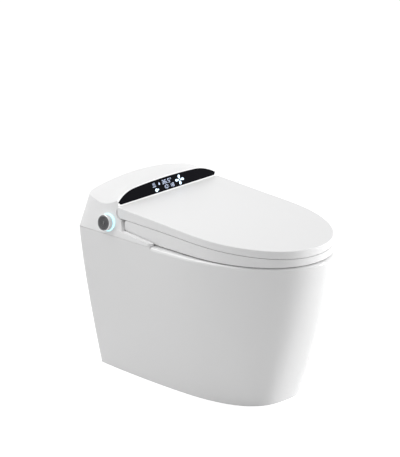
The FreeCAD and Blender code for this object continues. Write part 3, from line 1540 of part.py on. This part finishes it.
def inlet_valve():
    """The solenoid valve; its threaded stub points down for the supply hose."""
    x, y = VALVE_AT
    low = RIM_HEIGHT + PLATE_THICKNESS
    body = rod(x, y, low, VALVE_RADIUS, VALVE_HEIGHT, V(0, 0, 1))
    body = body.fuse(rod(x, y, low + 10, 8.0, 25.0, V(0, -1, 0)))
    body = body.fuse(
        rod(x, y, low - PLATE_THICKNESS - STUB_LENGTH - 2, STUB_RADIUS, STUB_LENGTH, V(0, 0, 1))
    )
    body = body.fuse(
        rod(x, y, low - PLATE_THICKNESS - 2, STUB_RADIUS + 2.0, PLATE_THICKNESS + 3, V(0, 0, 1))
    )
    return body.cut(rod(x, y, low - PLATE_THICKNESS - STUB_LENGTH - 3, 6.5, 40.0, V(0, 0, 1)))


def flush_pump():
    """The flush pump that hangs in the pan's rear well."""
    x, y = PUMP_AT
    body = rod(x - PUMP_LENGTH / 2, y, PUMP_Z, PUMP_RADIUS, PUMP_LENGTH, V(1, 0, 0))
    neck = RIM_HEIGHT + PLATE_THICKNESS + 4.0 - PUMP_Z
    body = body.fuse(rod(PUMP_NECK_X, y, PUMP_Z, PUMP_NECK_RADIUS, neck, V(0, 0, 1)))
    for share in (0.3, 0.42, 0.54, 0.66, 0.78):
        body = body.fuse(
            rod(x + PUMP_LENGTH * (share - 0.5), y, PUMP_Z, PUMP_RADIUS + PUMP_RIB, 2.5, V(1, 0, 0))
        )
    end = x + PUMP_LENGTH / 2
    level = PUMP_Z - PUMP_OUTLET_DROP
    outside = FLUSH_RADIUS + FLUSH_WALL
    body = body.fuse(rod(end - 1, y, level, outside, PUMP_OUTLET_LENGTH + 1, V(1, 0, 0)))
    return body.cut(rod(end - 5, y, level, FLUSH_RADIUS, PUMP_OUTLET_LENGTH + 6, V(1, 0, 0)))


def odour_filter():
    """The odour cartridge: a frame with slots towards the duct side."""
    body = module(FILTER_BOX, FILTER_AT, 3.0)
    x, y = FILTER_AT
    low = RIM_HEIGHT + PLATE_THICKNESS
    for n in range(FILTER_SLOTS):
        z = low + FILTER_BOX[2] * (n + 0.75) / (FILTER_SLOTS + 0.5)
        front = y - FILTER_BOX[1] / 2
        body = body.cut(
            box(
                x - FILTER_BOX[0] * 0.38,
                x + FILTER_BOX[0] * 0.38,
                front - 1,
                front + FIN_DEPTH,
                z,
                z + 2.0,
            )
        )
    return body


def cord_gland():
    """The grommet in the housing's rear wall where the mains lead would leave."""
    start = REAR_Y - HOUSING_WALL - 3.0
    body = rod(GLAND_X, start, GLAND_Z, GLAND_RADIUS, GLAND_LENGTH, V(0, 1, 0))
    return body.cut(rod(GLAND_X, start - 1, GLAND_Z, 3.6, GLAND_LENGTH + 2, V(0, 1, 0)))


def build():
    """Every node by name."""
    nodes = {
        "pan_skirt": pan_skirt(),
        "pan_bowl": pan_bowl(),
        "pan_trapway": pan_trapway(),
        "outlet_collar": outlet_collar(),
        "flush_hose": flush_hose(),
        "rear_cover": rear_cover(),
        "base_plate": base_plate(),
        "display_glass": display_glass(),
        "display_board": display_board(),
        "light_ring": light_ring(),
        "knob_encoder": knob_encoder(),
        "knob_sleeve": knob_sleeve(),
        "knob_body": knob_body(),
        "knob_face": knob_face(),
        "hinge_bracket_right": hinge_bracket(),
        "hinge_bracket_left": mirrored(hinge_bracket()),
        "hinge_pin_right": hinge_pin(),
        "hinge_pin_left": mirrored(hinge_pin()),
        "damper_right": damper(),
        "damper_left": mirrored(damper()),
        "lid_shell": lid_shell(),
        "lid_liner": lid_liner(),
        "seat_top": seat_top(),
        "seat_base": seat_base(),
        "seat_heater": seat_heater(),
        "wand_tube": wand_tube(),
        "wand_tip": wand_tip(),
        "wand_shield": wand_shield(),
        "wand_pinion": wand_pinion(),
        "wand_guide": wand_guide(),
        "wand_motor": wand_motor(),
        "wash_fascia": wash_fascia(),
        "dryer_flap": dryer_flap(),
        "dryer_duct": dryer_duct(),
        "fan_housing": fan_housing(),
        "fan_wheel": fan_wheel(),
        "fan_motor": fan_motor(),
        "water_heater": water_heater(),
        "control_board": control_board(),
        "power_supply": power_supply(),
        "inlet_valve": inlet_valve(),
        "flush_pump": flush_pump(),
        "odour_filter": odour_filter(),
        "cord_gland": cord_gland(),
    }
    for number, (x, y) in enumerate(SEAT_BUMPERS, 1):
        nodes[f"seat_bumper_{number}"] = bumper(x, y, SEAT_BOTTOM + 0.4, RIM_HEIGHT + BUMPER_REST)
    for number, (x, y) in enumerate(LID_BUMPERS, 1):
        nodes[f"lid_bumper_{number}"] = lid_bumper(x, y)
    return nodes


def main():
    os.makedirs("parts", exist_ok=True)
    for name, shape in build().items():
        solids = shape.Solids
        print(
            name,
            len(solids),
            "valid" if shape.isValid() else "INVALID",
            round(shape.Volume / 1000.0, 2),
            "cm3",
        )
        if len(solids) == 1:
            shape = solids[0]
        shape.exportStep(f"parts/{name}.step")


main()
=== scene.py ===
"""Looks for the smart toilet: glazed pan, satin seat and lid, rear unit with lit display and knob."""
import math

import bpy
from mathutils import Matrix, Vector


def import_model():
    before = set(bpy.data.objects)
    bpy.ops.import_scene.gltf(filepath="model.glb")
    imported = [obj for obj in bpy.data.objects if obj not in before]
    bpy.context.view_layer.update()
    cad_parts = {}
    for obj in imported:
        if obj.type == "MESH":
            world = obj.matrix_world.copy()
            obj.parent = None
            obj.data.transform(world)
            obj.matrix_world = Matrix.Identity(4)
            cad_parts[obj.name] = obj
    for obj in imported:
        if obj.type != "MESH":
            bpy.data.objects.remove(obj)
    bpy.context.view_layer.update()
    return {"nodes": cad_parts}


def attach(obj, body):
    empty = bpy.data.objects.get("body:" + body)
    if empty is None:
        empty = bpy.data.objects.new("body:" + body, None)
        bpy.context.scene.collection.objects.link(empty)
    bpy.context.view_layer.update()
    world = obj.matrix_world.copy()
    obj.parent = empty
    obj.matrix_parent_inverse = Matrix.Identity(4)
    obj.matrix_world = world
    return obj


MM = 0.001

# the sloping front of the rear unit, which the display glass lies in
FRONT_SLOPE = math.radians(66.0)
DISPLAY_FOOT = Vector((0.0, 178.604, 460.0)) * MM
GLASS_LEVEL = -0.3

# the knob's axis
KNOB_SEAT = Vector((-194.335, 200.5, 415.5)) * MM
KNOB_TILT = math.radians(8.5)
FACE_LEVEL = 15.9


# the photograph's view: angles in degrees, place in metres and lens in millimetres
VIEW_TURN = -46.448
VIEW_HEIGHT = 18.593
VIEW_POINT = (-6.1416, -5.7711, 3.2333)
VIEW_LENS = 280.37

# soft lamps: name, place, aim, width and height in metres, power in watts
LAMPS = (
    ("key_lamp", (2.6, -3.0, 3.4), (0.0, 0.0, 0.25), (2.0, 1.6), 24.0),
    ("top_lamp", (-0.7, 0.9, 2.0), (0.0, 0.2, 0.3), (1.4, 1.4), 17.0),
    ("front_lamp", (4.2, -3.2, 0.9), (0.0, -0.1, 0.25), (1.6, 1.6), 185.0),
    ("side_lamp", (-4.2, 3.2, 0.9), (0.0, 0.0, 0.2), (2.0, 1.6), 15.0),
)

# millimetres: the lit prints' thickness, the knob symbol's, and the fan sign's centre and stretch
PRINT_DEPTH = 0.12
SYMBOL_DEPTH = 0.1
FAN_CENTRE = (48.6, 16.0)
FAN_STRETCH = (1.08, 0.9)

# the knob's lines: name, radius and half thickness in mm
KNOB_LINES = (
    ("knob_line_outer", 16.6, 0.45), ("knob_line_middle", 12.4, 0.35), ("knob_line_inner", 8.2, 0.3),
)
LINE_FLATNESS = 0.3


# ---- camera, stage and light
def place_camera():
    turn = math.radians(VIEW_TURN)
    height = math.radians(VIEW_HEIGHT)
    back = Vector((math.sin(turn) * math.cos(height), -math.cos(turn) * math.cos(height), math.sin(height)))
    aim = (-back).to_track_quat("-Z", "Y").to_euler()
    bpy.ops.object.camera_add(location=VIEW_POINT, rotation=aim)
    camera = bpy.context.object
    camera.name = "photo_camera"
    camera.data.sensor_fit = "VERTICAL"
    camera.data.sensor_height = 36.0
    camera.data.lens = VIEW_LENS
    camera.data.clip_end = 100.0
    bpy.context.scene.camera = camera


def seen_only(tree, low, high):
    """A strength that is high for what the camera, a reflection or glass sees, and low for light itself."""
    path = tree.nodes.new("ShaderNodeLightPath")
    glossy = tree.nodes.new("ShaderNodeMath")
    glossy.operation = "MAXIMUM"
    tree.links.new(path.outputs["Is Camera Ray"], glossy.inputs[0])
    tree.links.new(path.outputs["Is Glossy Ray"], glossy.inputs[1])
    clear = tree.nodes.new("ShaderNodeMath")
    clear.operation = "MAXIMUM"
    tree.links.new(glossy.outputs[0], clear.inputs[0])
    tree.links.new(path.outputs["Is Transmission Ray"], clear.inputs[1])
    span = tree.nodes.new("ShaderNodeMapRange")
    span.inputs["To Min"].default_value = low
    span.inputs["To Max"].default_value = high
    tree.links.new(clear.outputs[0], span.inputs["Value"])
    return span.outputs["Result"]


def white_room():
    world = bpy.data.worlds.new("white_room")
    bpy.context.scene.world = world
    world.use_nodes = True
    tree = world.node_tree
    tree.nodes.clear()
    shade = tree.nodes.new("ShaderNodeBackground")
    shade.inputs["Color"].default_value = (1.0, 1.0, 1.0, 1.0)
    tree.links.new(seen_only(tree, 0.55, 1.0), shade.inputs["Strength"])
    out = tree.nodes.new("ShaderNodeOutputWorld")
    tree.links.new(shade.outputs[0], out.inputs["Surface"])


def white_floor():
    bpy.ops.mesh.primitive_plane_add(size=30.0)
    floor = bpy.context.object
    floor.name = "studio_floor"
    finish = bpy.data.materials.new("studio_floor")
    finish.use_nodes = True
    tree = finish.node_tree
    tree.nodes.clear()
    paint = tree.nodes.new("ShaderNodeBsdfDiffuse")
    paint.inputs["Color"].default_value = (0.72, 0.72, 0.72, 1.0)
    glow = tree.nodes.new("ShaderNodeEmission")
    glow.inputs["Color"].default_value = (1.0, 1.0, 1.0, 1.0)
    tree.links.new(seen_only(tree, 0.0, 0.62), glow.inputs["Strength"])
    both = tree.nodes.new("ShaderNodeAddShader")
    tree.links.new(paint.outputs[0], both.inputs[0])
    tree.links.new(glow.outputs[0], both.inputs[1])
    out = tree.nodes.new("ShaderNodeOutputMaterial")
    tree.links.new(both.outputs[0], out.inputs["Surface"])
    floor.data.materials.append(finish)


def soft_lamp(name, place, aim, width, power):
    direction = (Vector(aim) - Vector(place)).to_track_quat("-Z", "Y").to_euler()
    bpy.ops.object.light_add(type="AREA", location=place, rotation=direction)
    lamp = bpy.context.object
    lamp.name = name
    lamp.data.shape = "RECTANGLE"
    lamp.data.size = width[0]
    lamp.data.size_y = width[1]
    lamp.data.energy = power


# ---- shared shader effects
def grain_group():
    """Slow changes of tone and gloss, and a fine grain for the bump, in a piece's own coordinates."""
    group = bpy.data.node_groups.new("tone_and_grain", "ShaderNodeTree")
    face = group.interface
    face.new_socket("Colour", in_out="INPUT", socket_type="NodeSocketColor")
    for name, value in (("Tone Spread", 0.02), ("Tone Scale", 6.0), ("Roughness", 0.2),
                        ("Roughness Spread", 0.04), ("Grain Scale", 400.0)):
        socket = face.new_socket(name, in_out="INPUT", socket_type="NodeSocketFloat")
        socket.default_value = value
    face.new_socket("Colour", in_out="OUTPUT", socket_type="NodeSocketColor")
    face.new_socket("Roughness", in_out="OUTPUT", socket_type="NodeSocketFloat")
    face.new_socket("Height", in_out="OUTPUT", socket_type="NodeSocketFloat")
    start = group.nodes.new("NodeGroupInput")
    end = group.nodes.new("NodeGroupOutput")
    place = group.nodes.new("ShaderNodeTexCoord")
    link = group.links.new

    slow = group.nodes.new("ShaderNodeTexNoise")
    slow.inputs["Detail"].default_value = 3.0
    link(place.outputs["Object"], slow.inputs["Vector"])
    link(start.outputs["Tone Scale"], slow.inputs["Scale"])
    centred = group.nodes.new("ShaderNodeMath")
    centred.operation = "SUBTRACT"
    centred.inputs[1].default_value = 0.5
    link(slow.outputs["Fac"], centred.inputs[0])
    tone = group.nodes.new("ShaderNodeMath")
    tone.operation = "MULTIPLY_ADD"
    tone.inputs[2].default_value = 1.0
    link(centred.outputs[0], tone.inputs[0])
    link(start.outputs["Tone Spread"], tone.inputs[1])
    shade = group.nodes.new("ShaderNodeVectorMath")
    shade.operation = "SCALE"
    link(start.outputs["Colour"], shade.inputs[0])
    link(tone.outputs[0], shade.inputs["Scale"])
    link(shade.outputs[0], end.inputs["Colour"])

    gloss = group.nodes.new("ShaderNodeMath")
    gloss.operation = "MULTIPLY_ADD"
    link(centred.outputs[0], gloss.inputs[0])
    link(start.outputs["Roughness Spread"], gloss.inputs[1])
    link(start.outputs["Roughness"], gloss.inputs[2])
    link(gloss.outputs[0], end.inputs["Roughness"])

    fine = group.nodes.new("ShaderNodeTexNoise")
    fine.inputs["Detail"].default_value = 2.0
    link(place.outputs["Object"], fine.inputs["Vector"])
    link(start.outputs["Grain Scale"], fine.inputs["Scale"])
    link(fine.outputs["Fac"], end.inputs["Height"])
    return group


GRAIN = None


def finish(
    name, colour, roughness, tone=0.02, tone_scale=6.0, spread=0.05, grain=400.0, bump=0.02,
    depth=0.0002, **own
):
    """A material whose tone, gloss and grain come from the shared group; own sets sockets of the shader."""
    made = bpy.data.materials.new(name)
    made.use_nodes = True
    tree = made.node_tree
    shader = tree.nodes["Principled BSDF"]
    surface = tree.nodes.new("ShaderNodeGroup")
    surface.node_tree = GRAIN
    surface.inputs["Colour"].default_value = (*colour, 1.0)
    surface.inputs["Tone Spread"].default_value = tone
    surface.inputs["Tone Scale"].default_value = tone_scale
    surface.inputs["Roughness"].default_value = roughness
    surface.inputs["Roughness Spread"].default_value = spread
    surface.inputs["Grain Scale"].default_value = grain
    tree.links.new(surface.outputs["Colour"], shader.inputs["Base Color"])
    tree.links.new(surface.outputs["Roughness"], shader.inputs["Roughness"])
    relief = tree.nodes.new("ShaderNodeBump")
    relief.inputs["Strength"].default_value = bump
    relief.inputs["Distance"].default_value = depth
    tree.links.new(surface.outputs["Height"], relief.inputs["Height"])
    tree.links.new(relief.outputs["Normal"], shader.inputs["Normal"])
    for socket, value in own.items():
        shader.inputs[socket.replace("_", " ")].default_value = value
    return made


def lit(name, colour, strength):
    """A lit print or light guide, a little uneven as light through plastic is."""
    made = finish(name, colour, 0.35, tone=0.1, tone_scale=90.0, bump=0.01)
    shader = made.node_tree.nodes["Principled BSDF"]
    surface = next(n for n in made.node_tree.nodes if n.type == "GROUP")
    made.node_tree.links.new(surface.outputs["Colour"], shader.inputs["Emission Color"])
    shader.inputs["Emission Strength"].default_value = strength
    return made


def make_finishes():
    global GRAIN
    GRAIN = grain_group()
    return {
        "glaze": finish(
            "white_glaze", (0.80, 0.80, 0.802), 0.12, tone=0.012, tone_scale=3.0, spread=0.03,
            grain=38.0, bump=0.06, depth=0.0012, Coat_Weight=0.6, Coat_Roughness=0.03,
        ),
        "shell": finish(
            "white_satin_shell", (0.85, 0.85, 0.852), 0.36, tone=0.008, tone_scale=4.0, spread=0.04,
            grain=150.0, bump=0.03, depth=0.0005, Specular_IOR_Level=0.4,
        ),
        "inner": finish(
            "grey_moulding", (0.62, 0.63, 0.64), 0.5, tone=0.05, tone_scale=14.0, grain=700.0,
            bump=0.15,
        ),
        "dark": finish(
            "dark_moulding", (0.05, 0.05, 0.055), 0.45, tone=0.2, tone_scale=20.0, grain=700.0,
            bump=0.15,
        ),
        "glass": finish(
            "display_glass", (0.004, 0.004, 0.006), 0.10, tone=0.2, tone_scale=8.0, spread=0.02,
            grain=60.0, bump=0.01, Specular_IOR_Level=0.04,
        ),
        "icons": lit("lit_icons", (0.66, 0.84, 1.0), 0.9),
        "dim_icons": lit("dim_icons", (0.46, 0.54, 0.74), 0.34),
        "glow": lit("light_guide", (0.55, 0.92, 1.0), 0.85),
        "silver": finish(
            "satin_silver", (0.80, 0.81, 0.82), 0.26, tone=0.04, tone_scale=60.0, grain=1500.0,
            bump=0.05, Metallic=0.85,
        ),
        "knob_black": finish(
            "knob_black", (0.010, 0.010, 0.012), 0.22, tone=0.3, tone_scale=120.0, grain=1800.0,
            bump=0.06, Specular_IOR_Level=0.25,
        ),
        "knob_line": finish(
            "knob_line", (0.34, 0.34, 0.35), 0.35, tone=0.1, tone_scale=80.0, grain=1500.0,
            bump=0.05, Metallic=0.6,
        ),
        "steel": finish(
            "ground_steel", (0.66, 0.66, 0.67), 0.28, tone=0.06, tone_scale=90.0, grain=1200.0,
            bump=0.08, Metallic=1.0,
        ),
        "foil": finish(
            "heater_foil", (0.70, 0.55, 0.38), 0.32, tone=0.1, tone_scale=30.0, grain=300.0,
            bump=0.2, Metallic=1.0,
        ),
        "rubber": finish(
            "white_rubber", (0.60, 0.60, 0.60), 0.55, tone=0.05, tone_scale=60.0, grain=900.0,
            bump=0.2,
        ),
        "board": finish(
            "circuit_board", (0.02, 0.13, 0.06), 0.4, tone=0.3, tone_scale=70.0, grain=500.0,
            bump=0.25,
        ),
        "motor": finish(
            "motor_can", (0.33, 0.34, 0.35), 0.34, tone=0.08, tone_scale=40.0, grain=900.0,
            bump=0.1, Metallic=0.9,
        ),
        "felt": finish(
            "carbon_felt", (0.03, 0.03, 0.03), 0.9, tone=0.5, tone_scale=200.0, grain=700.0,
            bump=0.8,
        ),
        "cream": finish(
            "cream_moulding", (0.70, 0.68, 0.62), 0.42, tone=0.05, tone_scale=18.0, grain=600.0,
            bump=0.1,
        ),
    }


NODE_FINISH = {
    "pan_skirt": "glaze", "pan_bowl": "glaze", "pan_trapway": "glaze", "outlet_collar": "glaze",
    "flush_hose": "rubber", "lid_bumper_1": "rubber", "lid_bumper_2": "rubber",
    "lid_bumper_3": "rubber", "lid_bumper_4": "rubber", "rear_cover": "shell", "lid_shell": "shell",
    "lid_liner": "shell", "seat_top": "shell", "seat_base": "shell", "wash_fascia": "shell",
    "dryer_flap": "shell", "wand_shield": "shell", "wand_tube": "cream", "wand_tip": "steel",
    "display_glass": "glass", "display_board": "board", "light_ring": "glow", "knob_body": "silver",
    "knob_face": "knob_black", "knob_sleeve": "cream", "knob_encoder": "dark",
    "base_plate": "inner", "hinge_bracket_right": "inner", "hinge_bracket_left": "inner",
    "hinge_pin_right": "steel", "hinge_pin_left": "steel", "damper_right": "dark",
    "damper_left": "dark", "seat_heater": "foil", "seat_bumper_1": "rubber",
    "seat_bumper_2": "rubber", "seat_bumper_3": "rubber", "seat_bumper_4": "rubber",
    "wand_pinion": "cream", "wand_guide": "inner", "wand_motor": "motor", "dryer_duct": "inner",
    "fan_housing": "inner", "fan_wheel": "cream", "fan_motor": "motor", "water_heater": "inner",
    "control_board": "board", "power_supply": "motor", "inlet_valve": "cream", "flush_pump": "dark",
    "odour_filter": "felt", "cord_gland": "rubber",
}


def dress_nodes(nodes, finishes):
    for name, node in nodes.items():
        node.data.materials.clear()
        node.data.materials.append(finishes[NODE_FINISH[name]])


# ---- modelling helpers
def clear_choice():
    bpy.ops.object.select_all(action="DESELECT")


def settle(piece, name, body, surface, place=None):
    """Puts a finished mesh in its place, with its own origin at the object's, and lets it ride."""
    piece.name = name
    piece.data.name = name
    bpy.context.view_layer.update()
    if place is not None:
        piece.matrix_world = place @ piece.matrix_world
    clear_choice()
    piece.select_set(True)
    bpy.context.view_layer.objects.active = piece
    bpy.ops.object.transform_apply(location=True, rotation=True, scale=True)
    piece.data.materials.clear()
    piece.data.materials.append(surface)
    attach(piece, body)
    return piece


def join(pieces):
    clear_choice()
    for piece in pieces:
        piece.select_set(True)
    bpy.context.view_layer.objects.active = pieces[0]
    bpy.ops.object.join()
    return pieces[0]


def thicken(piece, depth):
    """Gives a flat outline its thickness, upwards."""
    clear_choice()
    piece.select_set(True)
    bpy.context.view_layer.objects.active = piece
    bpy.ops.object.mode_set(mode="EDIT")
    bpy.ops.mesh.select_all(action="SELECT")
    bpy.ops.mesh.extrude_region_move(TRANSFORM_OT_translate={"value": (0.0, 0.0, depth)})
    bpy.ops.mesh.select_all(action="SELECT")
    bpy.ops.mesh.normals_make_consistent(inside=False)
    bpy.ops.object.mode_set(mode="OBJECT")


def display_place():
    out = Matrix.Translation(DISPLAY_FOOT) @ Matrix.Rotation(FRONT_SLOPE, 4, "X")
    return out @ Matrix.Translation((0.0, 0.0, GLASS_LEVEL * MM))


def knob_place():
    return Matrix.Translation(KNOB_SEAT) @ Matrix.Rotation(-math.pi / 2 + KNOB_TILT, 4, "Y")


# ---- lit icons on the display
def flat_disc(x, y, radius, sides=20, stretch=(1.0, 1.0)):
    bpy.ops.mesh.primitive_circle_add(
        vertices=sides, radius=radius * MM, fill_type="NGON", location=(x * MM, y * MM, 0.0),
    )
    disc = bpy.context.object
    disc.scale = (stretch[0], stretch[1], 1.0)
    return disc


def segment(x, y, length, width, upright):
    """One bar of a seven-segment digit: a long hexagon."""
    bpy.ops.mesh.primitive_circle_add(vertices=6, radius=width * MM / 2, fill_type="NGON")
    bar = bpy.context.object
    half = (length - width) / 2 * MM
    for corner in bar.data.vertices:
        corner.co.y += half if corner.co.y > 1e-6 else (-half if corner.co.y < -1e-6 else 0.0)
    bar.rotation_euler = (0.0, 0.0, 0.0 if upright else math.pi / 2)
    bar.location = (x * MM, y * MM, 0.0)
    return bar


SEGMENTS = {
    "0": "abcdef", "1": "bc", "3": "abcdg", "5": "acdfg", "6": "acdefg", "8": "abcdefg",
}


def digit(figure, x, y, width, height, stroke):
    across = width - stroke
    tall = height / 2 - stroke / 2
    middle = y + height / 2
    places = {
        "a": (x + width / 2, y + height - stroke / 2, across, False),
        "g": (x + width / 2, middle, across, False),
        "d": (x + width / 2, y + stroke / 2, across, False),
        "f": (x + stroke / 2, middle + tall / 2, tall, True),
        "b": (x + width - stroke / 2, middle + tall / 2, tall, True),
        "e": (x + stroke / 2, middle - tall / 2, tall, True),
        "c": (x + width - stroke / 2, middle - tall / 2, tall, True),
    }
    return [segment(*places[key][:3], stroke, places[key][3]) for key in SEGMENTS[figure]]


# a fan blade's outline about the hub: radius in mm and angle in degrees
BLADE = (
    (1.6, 0.0), (4.5, -3.0), (8.0, -4.0), (11.5, -1.0), (13.6, 6.0), (14.2, 16.0), (13.2, 27.0),
    (11.0, 36.0), (8.2, 41.0), (5.4, 42.0), (3.2, 38.0), (1.7, 26.0),
)


def fan_blade(turn):
    corners = []
    for radius, angle in BLADE:
        aim = math.radians(turn + angle)
        across = FAN_CENTRE[0] + radius * FAN_STRETCH[0] * math.cos(aim)
        upward = FAN_CENTRE[1] + radius * FAN_STRETCH[1] * math.sin(aim)
        corners.append((across * MM, upward * MM, 0.0))
    shape = bpy.data.meshes.new("blade")
    shape.from_pydata(corners, [], [tuple(range(len(corners)))])
    blade = bpy.data.objects.new("blade", shape)
    bpy.context.collection.objects.link(blade)
    return blade


def display_icons(finishes):
    place = display_place()

    upper = []
    for figure, x in (("3", -13.0), ("6", -4.0), ("5", 8.0)):
        upper += digit(figure, x, 17.5, 7.2, 10.5, 1.5)
    upper.append(flat_disc(5.6, 18.2, 0.9))
    lower = []
    for figure, x in (("1", -13.5), ("0", -4.5), ("1", 8.5), ("8", 18.5)):
        lower += digit(figure, x, 4.6, 7.6, 9.6, 1.5)
    lower.append(flat_disc(5.6, 11.2, 0.85))
    lower.append(flat_disc(5.6, 7.0, 0.85))
    figures = join(upper + lower)
    thicken(figures, PRINT_DEPTH * MM)
    settle(figures, "lit_figures", "toilet", finishes["dim_icons"], place)

    bpy.ops.mesh.primitive_torus_add(
        major_radius=1.5 * MM, minor_radius=0.45 * MM, major_segments=24, minor_segments=8,
    )
    degree = bpy.context.object
    degree.location = (19.0 * MM, 26.2 * MM, 0.0)
    degree.scale = (1.0, 1.0, 0.25)
    settle(degree, "lit_degree_mark", "toilet", finishes["dim_icons"], place)

    blades = [fan_blade(90.0 * n + 70.0) for n in range(4)]
    fan = join(blades)
    thicken(fan, PRINT_DEPTH * MM)
    settle(fan, "lit_fan_icon", "toilet", finishes["icons"], place)

    bulb = flat_disc(-38.0, 7.8, 4.4, sides=28)
    foot = flat_disc(-32.2, 8.4, 2.5, sides=24, stretch=(1.35, 0.8))
    night = join([bulb, foot])
    thicken(night, PRINT_DEPTH * MM)
    settle(night, "lit_lamp_icon", "toilet", finishes["icons"], place)

    bars = []
    for x in (-45.4, -41.8, -38.2):
        for y, side in ((22.2, 0.5), (25.8, -0.5)):
            bar = segment(x + side, y, 4.4, 1.1, True)
            bar.rotation_euler = (0.0, 0.0, math.radians(14.0) * (1 if side > 0 else -1))
            bars.append(bar)
    bars.append(segment(-41.8, 17.6, 12.0, 1.8, False))
    heat = join(bars)
    thicken(heat, PRINT_DEPTH * MM)
    settle(heat, "lit_heat_icon", "toilet", finishes["dim_icons"], place)

    drop = flat_disc(-23.2, 21.2, 2.6, sides=24)
    for corner in drop.data.vertices:
        if corner.co.y > 0:
            corner.co.x *= 1.0 - 0.55 * corner.co.y / (2.6 * MM)
            corner.co.y *= 1.7
    thicken(drop, PRINT_DEPTH * MM)
    settle(drop, "lit_drop_icon", "toilet", finishes["dim_icons"], place)


# ---- knob details
def knob_details(finishes):
    place = knob_place()
    for name, radius, thick in KNOB_LINES:
        bpy.ops.mesh.primitive_torus_add(
            major_radius=radius * MM, minor_radius=thick * MM, major_segments=72, minor_segments=8,
            location=(0.0, 0.0, FACE_LEVEL * MM),
        )
        line = bpy.context.object
        line.scale = (1.0, 1.0, LINE_FLATNESS)
        settle(line, name, "knob", finishes["knob_line"], place)
    marks = [segment(-2.2, 0.0, 4.2, 1.0, True), segment(2.2, 0.0, 4.2, 1.0, True)]
    symbol = join(marks)
    thicken(symbol, SYMBOL_DEPTH * MM)
    symbol.location.z += FACE_LEVEL * MM
    settle(symbol, "knob_symbol", "knob", finishes["silver"], place)


def main():
    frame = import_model()
    clear_choice()
    bpy.context.scene.view_settings.view_transform = "Standard"
    place_camera()
    white_room()
    white_floor()
    for lamp in LAMPS:
        soft_lamp(*lamp)
    finishes = make_finishes()
    dress_nodes(frame["nodes"], finishes)
    display_icons(finishes)
    knob_details(finishes)


main()
